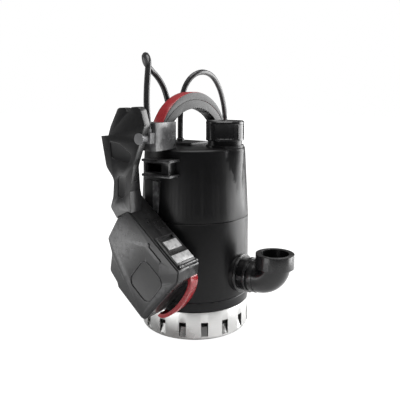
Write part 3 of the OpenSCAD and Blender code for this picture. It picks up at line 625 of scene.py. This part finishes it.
def apply_modifier(obj: bpy.types.Object, kind: str, **settings: object) -> None:
    """Adds a modifier with its settings and applies it.

    Args:
        obj: The mesh object.
        kind: The modifier's type.
        settings: Its settings, by name.
    """
    pick_only(obj)
    modifier = obj.modifiers.new(kind.lower(), kind)
    for key, value in settings.items():
        setattr(modifier, key, value)
    bpy.ops.object.modifier_apply(modifier=modifier.name)


def shade(obj: bpy.types.Object, degrees: float = SHARP) -> None:
    """Shades an object smooth, but for edges sharper than an angle.

    Args:
        obj: The mesh object.
        degrees: The angle.
    """
    pick_only(obj)
    bpy.ops.object.shade_smooth_by_angle(angle=math.radians(degrees))


def dress(obj: bpy.types.Object, slot: str, body: str | Body) -> bpy.types.Object:
    """Gives a finished piece the material of a slot and the body that it moves with.

    Args:
        obj: The finished piece.
        slot: A material slot of the record.
        body: What it moves with.

    Returns:
        The same piece.
    """
    obj.data.materials.clear()
    obj.data.materials.append(finish_of(slot))
    carrier = body.value if isinstance(body, Body) else body
    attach(obj, carrier)
    LOG.info("%s: %s, moves with %s", obj.name, slot, carrier)
    return obj


def soft_edged(
    parts: Parts,
    node: str,
    width: float,
    segments: int = 3,
    angle: float = 32.0,
    flat: float = 0.6,
) -> bpy.types.Object:
    """A copy of a CAD node with its edges rounded, which stands for the node.

    Args:
        parts: The pump's CAD nodes.
        node: The CAD node.
        width: Width of the rounding, in millimetres.
        segments: Steps of the rounding.
        angle: Edges sharper than this many degrees are rounded.
        flat: Faces that lie within this many degrees become one.

    Returns:
        The finished piece.
    """
    source = parts.nodes[node]
    obj = bpy.data.objects.new(node + "_dressed", source.data.copy())
    bpy.context.collection.objects.link(obj)
    obj.matrix_world = source.matrix_world
    with editing(obj, Pick.POINTS):
        bpy.ops.mesh.select_all(action="SELECT")
        bpy.ops.mesh.remove_doubles(threshold=MERGE_GAP)
        bpy.ops.mesh.dissolve_limited(angle_limit=math.radians(flat))
    if width > 0:
        apply_modifier(
            obj,
            "BEVEL",
            width=width * MM,
            segments=segments,
            limit_method="ANGLE",
            angle_limit=math.radians(angle),
            use_clamp_overlap=True,
            harden_normals=False,
        )
    shade(obj)
    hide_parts(node)
    return dress(obj, parts.slot_of(node), parts.body_of(node))


class Parts:
    """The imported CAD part: its nodes, and the slot and body of each."""

    def __init__(self, frame: dict) -> None:
        """Args:
            frame: Bodies, nodes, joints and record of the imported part.
        """
        self.nodes: dict[str, bpy.types.Object] = frame["nodes"]
        record = frame["record"]
        self._slot: dict[str, str] = {
            piece["node"]: piece["material_slot"] for piece in record["subparts"]
        }
        self._body: dict[str, str] = {
            node: body
            for body, nodes in record["behaviour"]["bodies"].items()
            for node in nodes
        }

    def slot_of(self, node: str) -> str:
        """The material slot of a node."""
        return self._slot[node]

    def body_of(self, node: str) -> str:
        """The body that a node moves with."""
        return self._body.get(node, "root")

    def dress_frame(self) -> None:
        """Gives each CAD node the finish of its slot."""
        for node, obj in self.nodes.items():
            obj.data.materials.clear()
            obj.data.materials.append(finish_of(self.slot_of(node)))


# Studio


@dataclass(frozen=True)
class Softbox:
    """A soft rectangular lamp that faces a point.

    Its size is in metres and its power in watts.
    """

    name: str
    at: Point
    aim: Point
    size: tuple[float, float]
    power: float

    def hang(self) -> None:
        """Hangs the lamp, unseen by the camera itself."""
        data = bpy.data.lights.new(self.name, "AREA")
        data.shape = "RECTANGLE"
        data.size, data.size_y = self.size
        data.energy = self.power
        lamp = bpy.data.objects.new(self.name, data)
        bpy.context.collection.objects.link(lamp)
        lamp.visible_camera = False
        lamp.location = self.at
        toward = Vector(self.aim) - Vector(self.at)
        lamp.rotation_euler = toward.to_track_quat("-Z", "Y").to_euler()


@dataclass
class Studio:
    """Floor, soft light and the photograph's camera.

    Seen straight by the camera, the floor glows white by floor_share near the pump, so
    that its shadow stays, and wholly from shadow_to outwards.
    """

    lens: float = 48.72
    camera_at: Point = (0.46655, -0.65776, 0.34455)
    camera_turn: float = 34.81
    camera_pitch: float = 4.98
    shift: float = -0.15
    floor_size: float = 14.0
    floor_glow: float = 1.25
    floor_share: float = 0.78
    surround: float = 0.12
    floor_grey: float = 0.88
    floor_roughness: float = 0.9
    shadow_from: float = 0.12
    shadow_to: float = 0.55
    boxes: tuple[Softbox, ...] = (
        Softbox("right box", (0.48, 0.77, 0.42), (0, 0, 0.2), (0.7, 0.9), 15.0),
        Softbox("low left box", (-0.14, -0.44, 0.07), (0.06, -0.1, 0.13), (0.5, 0.12), 0.6),
        Softbox("low right box", (0.42, 0.22, 0.09), (0.12, 0, 0.09), (0.2, 0.16), 0.5),
        Softbox("top box", (0.1, -0.1, 1.6), (0, 0, 0.1), (1.2, 1.2), 18.0),
        Softbox("left box", (-1.0, -0.55, 0.6), (0, 0, 0.15), (0.3, 0.9), 1.6),
    )

    def place_camera(self) -> None:
        """Sets the camera at the photograph's place."""
        data = bpy.data.cameras.new("camera")
        data.lens = self.lens
        data.sensor_width = 36.0
        data.shift_y = self.shift
        data.clip_start = 0.02
        data.clip_end = 60.0
        camera = bpy.data.objects.new("camera", data)
        bpy.context.collection.objects.link(camera)
        camera.location = self.camera_at
        camera.rotation_euler = (
            math.radians(90.0 - self.camera_pitch),
            0.0,
            math.radians(self.camera_turn),
        )
        bpy.context.scene.camera = camera

    def lay_floor(self) -> None:
        """Lays a white floor that keeps a soft shadow of the pump."""
        bpy.ops.object.select_all(action="DESELECT")
        bpy.ops.mesh.primitive_plane_add(size=self.floor_size, location=(0, 0, 0))
        floor = bpy.context.object
        floor.name = "studio_floor"
        material = new_material("white floor")
        nodes, links = material.node_tree.nodes, material.node_tree.links
        shader = shader_of(material)
        shader.inputs["Base Color"].default_value = (*[self.floor_grey] * 3, 1.0)
        shader.inputs["Roughness"].default_value = self.floor_roughness
        glow = nodes.new("ShaderNodeEmission")
        glow.inputs["Strength"].default_value = self.floor_glow
        path = nodes.new("ShaderNodeLightPath")
        place = nodes.new("ShaderNodeTexCoord")
        reach = nodes.new("ShaderNodeVectorMath")
        reach.operation = "LENGTH"
        links.new(place.outputs["Object"], reach.inputs[0])
        fade = nodes.new("ShaderNodeMapRange")
        fade.interpolation_type = "SMOOTHSTEP"
        fade.inputs["From Min"].default_value = self.shadow_from
        fade.inputs["From Max"].default_value = self.shadow_to
        fade.inputs["To Min"].default_value = self.floor_share
        fade.inputs["To Max"].default_value = 1.0
        links.new(reach.outputs["Value"], fade.inputs["Value"])
        share = nodes.new("ShaderNodeMath")
        share.operation = "MULTIPLY"
        links.new(path.outputs["Is Camera Ray"], share.inputs[0])
        links.new(fade.outputs["Result"], share.inputs[1])
        mix = nodes.new("ShaderNodeMixShader")
        links.new(share.outputs[0], mix.inputs[0])
        links.new(shader.outputs["BSDF"], mix.inputs[1])
        links.new(glow.outputs["Emission"], mix.inputs[2])
        output = next(n for n in nodes if n.type == "OUTPUT_MATERIAL")
        links.new(mix.outputs["Shader"], output.inputs["Surface"])
        floor.data.materials.append(material)

    def hang_backdrop(self) -> None:
        """Makes the surroundings white where the camera sees them, and dim in the gloss."""
        world = bpy.data.worlds.new("studio")
        world.use_nodes = True
        bpy.context.scene.world = world
        nodes, links = world.node_tree.nodes, world.node_tree.links
        path = nodes.new("ShaderNodeLightPath")
        level = nodes.new("ShaderNodeMapRange")
        level.inputs["To Min"].default_value = self.surround
        level.inputs["To Max"].default_value = 1.0
        links.new(path.outputs["Is Camera Ray"], level.inputs["Value"])
        back = next(n for n in nodes if n.type == "BACKGROUND")
        back.inputs["Color"].default_value = (1.0, 1.0, 1.0, 1.0)
        links.new(level.outputs["Result"], back.inputs["Strength"])

    def build(self) -> None:
        """Builds the whole studio."""
        bpy.context.scene.view_settings.view_transform = "Standard"
        self.place_camera()
        self.lay_floor()
        self.hang_backdrop()
        for box in self.boxes:
            box.hang()


# Hand-made pieces


def tube_along(name: str, line: Sequence[Vector], width: float, closed: bool = False) -> bpy.types.Object:
    """A round tube along a line.

    Args:
        name: The piece's name.
        line: Its centreline, in metres.
        width: Its diameter, in metres.
        closed: Whether the line runs back to its start.

    Returns:
        The curve object.
    """
    data = bpy.data.curves.new(name, "CURVE")
    data.dimensions = "3D"
    data.bevel_depth = width / 2
    data.bevel_resolution = 3
    data.use_fill_caps = True
    spline = data.splines.new("POLY")
    spline.points.add(len(line) - 1)
    for point, place in zip(spline.points, line):
        point.co = (*place, 1.0)
    spline.use_cyclic_u = closed
    obj = bpy.data.objects.new(name, data)
    bpy.context.collection.objects.link(obj)
    return obj


def as_mesh(obj: bpy.types.Object) -> bpy.types.Object:
    """Turns a curve into a mesh with even, outward normals.

    Args:
        obj: The curve object.

    Returns:
        The mesh object.
    """
    pick_only(obj)
    bpy.ops.object.convert(target="MESH")
    mesh = bpy.context.object
    with editing(mesh):
        bpy.ops.mesh.select_all(action="SELECT")
        bpy.ops.mesh.normals_make_consistent(inside=False)
    return mesh


def block(
    name: str,
    low: Point,
    high: Point,
    rounding: float,
    turn: tuple[float, Point] | None = None,
) -> bpy.types.Object:
    """A box with rounded edges.

    Args:
        name: The piece's name.
        low: Its lowest corner, in millimetres.
        high: Its highest corner, in millimetres.
        rounding: Width of its edges' rounding, in millimetres.
        turn: Degrees about Y and the point to turn about, in millimetres.

    Returns:
        The mesh object.
    """
    centre = tuple((a + b) / 2 * MM for a, b in zip(low, high))
    bpy.ops.object.select_all(action="DESELECT")
    bpy.ops.mesh.primitive_cube_add(size=1.0, location=centre)
    obj = bpy.context.object
    obj.name = name
    obj.scale = tuple((b - a) * MM for a, b in zip(low, high))
    if turn is not None:
        about = Vector(turn[1]) * MM
        spin = Matrix.Rotation(math.radians(turn[0]), 4, "Y")
        obj.matrix_world = (
            Matrix.Translation(about) @ spin @ Matrix.Translation(-about)
            @ Matrix.Translation(Vector(centre))
            @ Matrix.Diagonal((*obj.scale, 1.0))
        )
    bpy.ops.object.transform_apply(location=True, rotation=True, scale=True)
    apply_modifier(obj, "BEVEL", width=rounding * MM, segments=3)
    shade(obj)
    return obj


# Cables


def spline_through(points: Sequence[Point], steps: int) -> list[Vector]:
    """A smooth line through given points, as in the CAD part.

    Args:
        points: The points, in millimetres.
        steps: Steps between two points.

    Returns:
        The line's points, in metres.
    """
    pts = [Vector(p) for p in points]
    last = len(pts) - 1
    line: list[Vector] = []
    for i in range(last):
        p0, p1 = pts[max(i - 1, 0)], pts[i]
        p2, p3 = pts[i + 1], pts[min(i + 2, last)]
        for j in range(steps + (1 if i == last - 1 else 0)):
            t = j / steps
            line.append(
                0.5
                * (
                    2 * p1
                    + (p2 - p0) * t
                    + (2 * p0 - 5 * p1 + 4 * p2 - p3) * t * t
                    + (3 * p1 - p0 - 3 * p2 + p3) * t * t * t
                )
                * MM
            )
    return line


def length_of(line: Sequence[Vector]) -> float:
    """The length of a line of points, in the points' own unit."""
    return sum((b - a).length for a, b in zip(line, line[1:]))


@dataclass
class Coil:
    """A flat round coil of cable that lies on the floor.

    Each layer holds the radii of its turns. A turn goes over to the next radius in its
    last part, and the last turn climbs on top of the others, where the lead starts.
    """

    centre: tuple[float, float] = (-109.0, 147.0)
    layers: tuple[tuple[float, ...], ...] = (
        (91.8, 83.3, 74.8, 66.3, 57.8),
        (62.0, 70.5, 79.0, 87.5),
        (91.8, 83.3, 74.8, 66.3, 57.8),
        (62.0, 70.5, 79.0, 87.5),
    )
    first_z: float = 4.3
    layer_step: float = 7.85
    lift_off: float = 8.7
    lift_from: float = 0.68
    lift_to: float = 0.96
    step_over: float = 0.8
    steps: int = 36
    start_angle: float = 0.0

    @staticmethod
    def eased(part: float, start: float, end: float) -> float:
        """A smooth step from 0 to 1.

        Args:
            part: How much of the turn is done.
            start: Share of the turn where the step starts.
            end: Share of the turn where it ends.

        Returns:
            0 before the step, 1 after it.
        """
        move = min(1.0, max(0.0, (part - start) / (end - start)))
        return move * move * (3 - 2 * move)

    def turns(self) -> list[Point]:
        """The points of all turns, from the outside at the floor to the top.

        Returns:
            Points in millimetres.
        """
        radii = [(r, k) for k, layer in enumerate(self.layers) for r in layer]
        points: list[Point] = []
        for n, (radius, level) in enumerate(radii):
            after, above = radii[min(n + 1, len(radii) - 1)]
            for step in range(self.steps):
                part = step / self.steps
                ease = self.eased(part, self.step_over, 1.0)
                r = radius + (after - radius) * ease
                z = self.first_z + self.layer_step * (level + (above - level) * ease)
                if n == len(radii) - 1:
                    z += self.lift_off * self.eased(part, self.lift_from, self.lift_to)
                angle = math.radians(self.start_angle + 360.0 * part)
                points.append(
                    (
                        self.centre[0] + r * math.cos(angle),
                        self.centre[1] + r * math.sin(angle),
                        z,
                    )
                )
        return points


@dataclass
class Cables:
    """The switch cable, and the power cable with its coil, tie and plug."""

    diameter: float = 8.4
    switch_route: tuple[Point, ...] = (
        (-36, -11, 268.1), (-36, -11, 285), (-36, -13, 303), (-37, -17, 328), (-39, -24, 350),
        (-42, -34, 366), (-44, -47, 377), (-41, -62, 386), (-33, -75, 393), (-22, -86, 396),
        (-12, -94, 392), (-6, -99, 383), (-4, -103, 368), (-3, -106, 350), (-1, -109, 330),
        (2, -111, 315), (4, -112, 306), (4, -112, 297.3),
    )
    power_route: tuple[Point, ...] = (
        (-34, 9, 268.1), (-34, 9, 290), (-34, 10, 315), (-33, 13, 340), (-29, 20, 360),
        (-23, 32, 373), (-19.5, 52, 377), (-19.5, 77.5, 370.4), (-21.5, 101.5, 350.1),
        (-25, 120, 321.3), (-26, 126.5, 290), (-24, 126, 250), (-19, 121, 200),
        (-13, 114, 150), (-9, 109.5, 100), (-8, 108, 60), (-8, 113, 32), (-10, 123, 13),
        (-14, 134, 5), (-17, 147, 4.3),
    )
    lead_route: tuple[Point, ...] = (
        (-21.5, 147, 36.5), (-25.3, 169.5, 36.7), (-34.5, 189.5, 36.7), (-49.5, 206, 36.7),
        (-70, 215, 36.7), (-91, 210, 36.7), (-105, 192, 36.7), (-108, 169, 36.7),
        (-108, 145, 36.7), (-108, 121, 36.7), (-112, 101, 36.7), (-124, 86, 36.7),
        (-141, 78.5, 36.7), (-158, 82, 36.7), (-167, 88, 38), (-175, 96, 41.5),
        (-181, 106, 46), (-184, 116, 49.5), (-184, 126, 50.3),
    )
    coil: Coil = field(default_factory=Coil)
    tie_angle: float = -60.0
    tie_t: float = 1.4
    tie_widening: float = 5.0
    plug_edge: float = 0.8
    pin_edge: float = 0.5

    def build_switch_cable(self) -> None:
        """Runs the switch cable from the deck to the pivot block."""
        line = spline_through(self.switch_route, 4)
        cable = tube_along("switch_cable_line", line, self.diameter * MM)
        dress(cable, "cable_rubber", Body.PUMP)
        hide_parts("switch_cable")
        LOG.info("switch cable: %.3f m", length_of(line))

    def build_tie(self) -> bpy.types.Object:
        """Straps the coil's turns together.

        Returns:
            The tie.
        """
        corners = [
            (51.8, 4.0), (53.0, 1.3), (56.0, 0.8), (74.0, 0.8), (90.0, 0.8), (96.0, 1.3),
            (97.4, 4.5), (97.4, 16.0), (97.4, 27.5), (96.0, 31.6), (90.0, 32.7),
            (74.0, 32.8), (56.0, 32.7), (52.8, 31.4), (51.8, 27.5), (51.8, 16.0),
        ]
        line = [Vector((r, 0.0, z)) * MM for r, z in corners]
        tie = as_mesh(tube_along("coil_tie", line, self.tie_t * MM, closed=True))
        with editing(tie):
            bpy.ops.mesh.select_all(action="SELECT")
            bpy.ops.transform.resize(
                value=(1.0, self.tie_widening, 1.0), center_override=(0.0, 0.0, 0.0)
            )
        tie.rotation_euler = (0.0, 0.0, math.radians(self.tie_angle))
        tie.location = Vector((*self.coil.centre, 0.0)) * MM
        bpy.ops.object.transform_apply(location=True, rotation=True, scale=False)
        shade(tie, 45.0)
        return dress(tie, "cable_rubber", Body.PUMP)

    def build_power_cable(self, parts: Parts) -> None:
        """Runs the power cable from the deck through its coil to the plug.

        Args:
            parts: The pump's CAD nodes.
        """
        line = spline_through(self.power_route, 4)
        turns = [Vector(p) * MM for p in self.coil.turns()]
        lead = spline_through(self.lead_route, 4)
        whole = line + turns[1:] + lead
        cable = tube_along("power_cable_line", whole, self.diameter * MM)
        dress(cable, "cable_rubber", Body.PUMP)
        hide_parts("power_cable", "power_coil", "plug_lead")
        plug = soft_edged(parts, "plug", self.plug_edge)
        pins = soft_edged(parts, "plug_pins", self.pin_edge)
        tie = self.build_tie()
        LOG.info("power cable: %.3f m", length_of(whole))

    def build(self, parts: Parts) -> None:
        """Builds both cables.

        Args:
            parts: The pump's CAD nodes.
        """
        self.build_switch_cable()
        self.build_power_cable(parts)


# Sub-assemblies


@dataclass
class Strainer:
    """The slotted steel foot, the ring that carries it and its plate."""

    cup_edge: float = 0.2
    ring_edge: float = 0.6

    def build(self, parts: Parts) -> None:
        """Rounds the cup's cut edges and the ring's rims.

        Args:
            parts: The pump's CAD nodes.
        """
        soft_edged(parts, "strainer", self.cup_edge, segments=2)
        soft_edged(parts, "base_ring", self.ring_edge)


@dataclass
class Housings:
    """Both housings, the deck's plate with its glands, the clip and the guide, with a lighter strip on
    the guide as a painted highlight.
    """

    shell_edge: float = 0.9
    plate_edge: float = 1.2
    clip_edge: float = 0.6
    gland_edge: float = 0.4
    highlight_strip_edge: float = 0.25
    highlight_strip_low: Point = (-15.0, -81.3, 178.0)
    highlight_strip_high: Point = (-5.0, -80.3, 222.0)

    def build(self, parts: Parts) -> None:
        """Rounds the housings and what is fixed to them.

        Args:
            parts: The pump's CAD nodes.
        """
        soft_edged(parts, "lower_housing", self.shell_edge)
        soft_edged(parts, "upper_housing", self.shell_edge)
        soft_edged(parts, "deck_plate", self.plate_edge)
        soft_edged(parts, "power_gland", self.gland_edge)
        soft_edged(parts, "switch_gland", self.gland_edge)
        soft_edged(parts, "cable_clip", self.clip_edge)
        soft_edged(parts, "side_guide", self.clip_edge)
        # A lighter grey strip on the guide's front stands in for the bright reflection of its chamfer: a
        # painted highlight.
        highlight_strip = block("guide_painted_highlight_strip", self.highlight_strip_low, self.highlight_strip_high, self.highlight_strip_edge)
        dress(highlight_strip, "pivot_grey", Body.PUMP)


@dataclass
class Outlets:
    """The screw cap, and the collar and elbow of the side outlet."""

    cap_edge: float = 0.5
    elbow_edge: float = 0.8

    def build(self, parts: Parts) -> None:
        """Rounds the cap's knurls and the elbow's rims.

        Args:
            parts: The pump's CAD nodes.
        """
        soft_edged(parts, "top_cap", self.cap_edge)
        soft_edged(parts, "outlet_collar", self.elbow_edge)
        soft_edged(parts, "elbow", self.elbow_edge)


@dataclass
class Handle:
    """The arched grip with its shell, and the box that holds its front leg."""

    grip_edge: float = 2.2
    shell_edge: float = 1.4
    box_edge: float = 0.9
    cheek_t: float = 0.44
    cheek_edge: float = 0.1
    cheek_steps: int = 160
    half_w: float = 9.0
    centre_y: float = -11.0
    deck_z: float = 267.0
    box_top: float = 302.0
    outer: tuple[float, float] = (85.4, 78.4)
    inner: tuple[float, float] = (83.0, 68.0)

    def build_cheek(self, side: int) -> None:
        """Lays a thin dark cheek on one side of the shell.

        Args:
            side: 1 for the +X side, -1 for the other.
        """
        place = (side * self.half_w * MM, self.centre_y * MM, self.deck_z * MM)
        bpy.ops.object.select_all(action="DESELECT")
        bpy.ops.mesh.primitive_circle_add(
            vertices=self.cheek_steps,
            radius=1.0,
            location=place,
            rotation=(0.0, math.radians(90.0), 0.0),
        )
        bpy.ops.object.transform_apply(location=True, rotation=True, scale=True)
        obj = bpy.context.object
        obj.name = "handle_cheek_right" if side > 0 else "handle_cheek_left"
        outer, inner = [Vector((1.0, y * MM, z * MM)) for y, z in (self.outer, self.inner)]
        with editing(obj, Pick.POINTS):
            bpy.ops.mesh.select_all(action="SELECT")
            bpy.ops.transform.resize(value=outer, center_override=place)
            bpy.ops.mesh.extrude_edges_move()
            bpy.ops.transform.resize(
                value=(1.0, inner.y / outer.y, inner.z / outer.z), center_override=place
            )
            bpy.ops.mesh.select_all(action="SELECT")
            bpy.ops.mesh.bisect(plane_co=place, plane_no=(0.0, 0.0, 1.0), clear_inner=True)
        for vertex in obj.data.vertices:
            vertex.select = vertex.co.y < place[1]
        with editing(obj, Pick.POINTS):
            bpy.ops.mesh.bisect(
                plane_co=(place[0], place[1], self.box_top * MM),
                plane_no=(0.0, 0.0, 1.0),
                clear_inner=True,
            )
            bpy.ops.mesh.select_all(action="SELECT")
            bpy.ops.mesh.normals_make_consistent(inside=False)
        apply_modifier(obj, "SOLIDIFY", thickness=self.cheek_t * MM, offset=0.0)
        apply_modifier(obj, "BEVEL", width=self.cheek_edge * MM, segments=2)
        shade(obj, 35.0)
        dress(obj, "grip_black", Body.PUMP)

    def build(self, parts: Parts) -> None:
        """Rounds the arches and the bracket box.

        Args:
            parts: The pump's CAD nodes.
        """
        soft_edged(parts, "handle_grip", self.grip_edge, segments=4)
        soft_edged(parts, "handle_shell", self.shell_edge)
        soft_edged(parts, "bracket_box", self.box_edge)
        for side in (-1, 1):
            self.build_cheek(side)


@dataclass(frozen=True)
class Pad:
    """A bright pad on the latch, in the switch's sloping frame, in millimetres."""

    near: float
    far: float
    front: float
    back: float
    top: float


@dataclass
class LevelSwitch:
    """The arm, both shells, the latch with its pads, the hoop, the pivot and the badge's bead."""

    tilt: float = 39.0
    frame_at: Point = (-17.3, 0.0, 187.4)
    front_y: float = -129.0
    shell_edge: float = 1.2
    badge: tuple[tuple[float, float], ...] = ((58, -30), (101, -30), (101, -75), (58, -75))
    badge_round: float = 11.0
    bead_w: float = 1.5
    corner_steps: int = 8
    clip_edge: float = 0.5
    hoop_edge: float = 2.4
    block_edge: float = 0.8
    pin_edge: float = 0.6
    pad_edge: float = 0.2
    pad_foot: float = 3.0
    pads: tuple[Pad, ...] = (
        Pad(near=62.8, far=76.2, front=-120.2, back=-92.8, top=4.45),
        Pad(near=84.8, far=97.2, front=-124.2, back=-88.8, top=4.25),
    )

    def at(self, u: float, n: float, y: float) -> Point:
        """A point of the switch's sloping frame, in the pump's frame.

        Args:
            u: Distance along the sloping side, in millimetres.
            n: Distance out of that side.
            y: Y in the pump's frame.

        Returns:
            The point, in millimetres.
        """
        c, d = math.cos(math.radians(self.tilt)), math.sin(math.radians(self.tilt))
        return (self.frame_at[0] + u * c + n * d, y, self.frame_at[2] - u * d + n * c)

    def rounded_line(self, corners: Sequence[tuple[float, float]], radius: float) -> list[Vector]:
        """A closed outline with round corners on the front of the switch.

        Args:
            corners: Its corners along and out of the sloping side, in millimetres.
            radius: Radius of its corners.

        Returns:
            Points in metres, at the height of the front panel.
        """
        line: list[Vector] = []
        count = len(corners)
        for k in range(count):
            before, here = Vector(corners[k - 1]), Vector(corners[k])
            after = Vector(corners[(k + 1) % count])
            a, b = (before - here).normalized(), (after - here).normalized()
            half = a.angle(b) / 2
            centre = here + (a + b).normalized() * radius / math.sin(half)
            start = here + a * radius / math.tan(half) - centre
            end = here + b * radius / math.tan(half) - centre
            for step in range(self.corner_steps + 1):
                share = step / self.corner_steps
                way = start.lerp(end, share).normalized() * radius + centre
                line.append(Vector(self.at(way.x, way.y, self.front_y)) * MM)
        return line

    def build_badge(self) -> None:
        """Runs a raised bead round the empty badge place."""
        line = self.rounded_line(self.badge, self.badge_round)
        bead = as_mesh(tube_along("badge_bead", line, self.bead_w * MM, closed=True))
        shade(bead, 60.0)
        dress(bead, "switch_black", Body.SWITCH)

    def build_pads(self) -> None:
        """Sets two bright pads on the latch."""
        about = (self.frame_at[0], 0.0, self.frame_at[2])
        for number, pad in enumerate(self.pads, 1):
            low = (about[0] + pad.near, pad.front, about[2] + self.pad_foot)
            high = (about[0] + pad.far, pad.back, about[2] + pad.top)
            turn = (self.tilt, about)
            made = block(f"latch_pad_{number}", low, high, self.pad_edge, turn=turn)
            dress(made, "latch_grey", Body.LATCH)

    def build(self, parts: Parts) -> None:
        """Rounds the switch's pieces and adds its small ones.

        Args:
            parts: The pump's CAD nodes.
        """
        for node in ("switch_arm", "switch_cover", "switch_base"):
            soft_edged(parts, node, self.shell_edge)
        soft_edged(parts, "lower_clip", self.clip_edge)
        latch = soft_edged(parts, "switch_latch", self.clip_edge)
        dress(latch, "switch_black", Body.LATCH)
        soft_edged(parts, "grab_hoop", self.hoop_edge, segments=4)
        soft_edged(parts, "pivot_block", self.block_edge)
        soft_edged(parts, "pivot_pin", self.pin_edge)
        self.build_badge()
        self.build_pads()


def main() -> None:
    """Loads the frame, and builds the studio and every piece."""
    logging.basicConfig(level=logging.INFO, format="%(name)s: %(message)s")
    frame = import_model()
    studio = Studio()
    studio.build()
    parts = Parts(frame)
    parts.dress_frame()
    for piece in (Strainer(), Housings(), Outlets(), Handle(), LevelSwitch(), Cables()):
        piece.build(parts)
        LOG.info("%s done", type(piece).__name__)


if __name__ == "__main__":
    main()
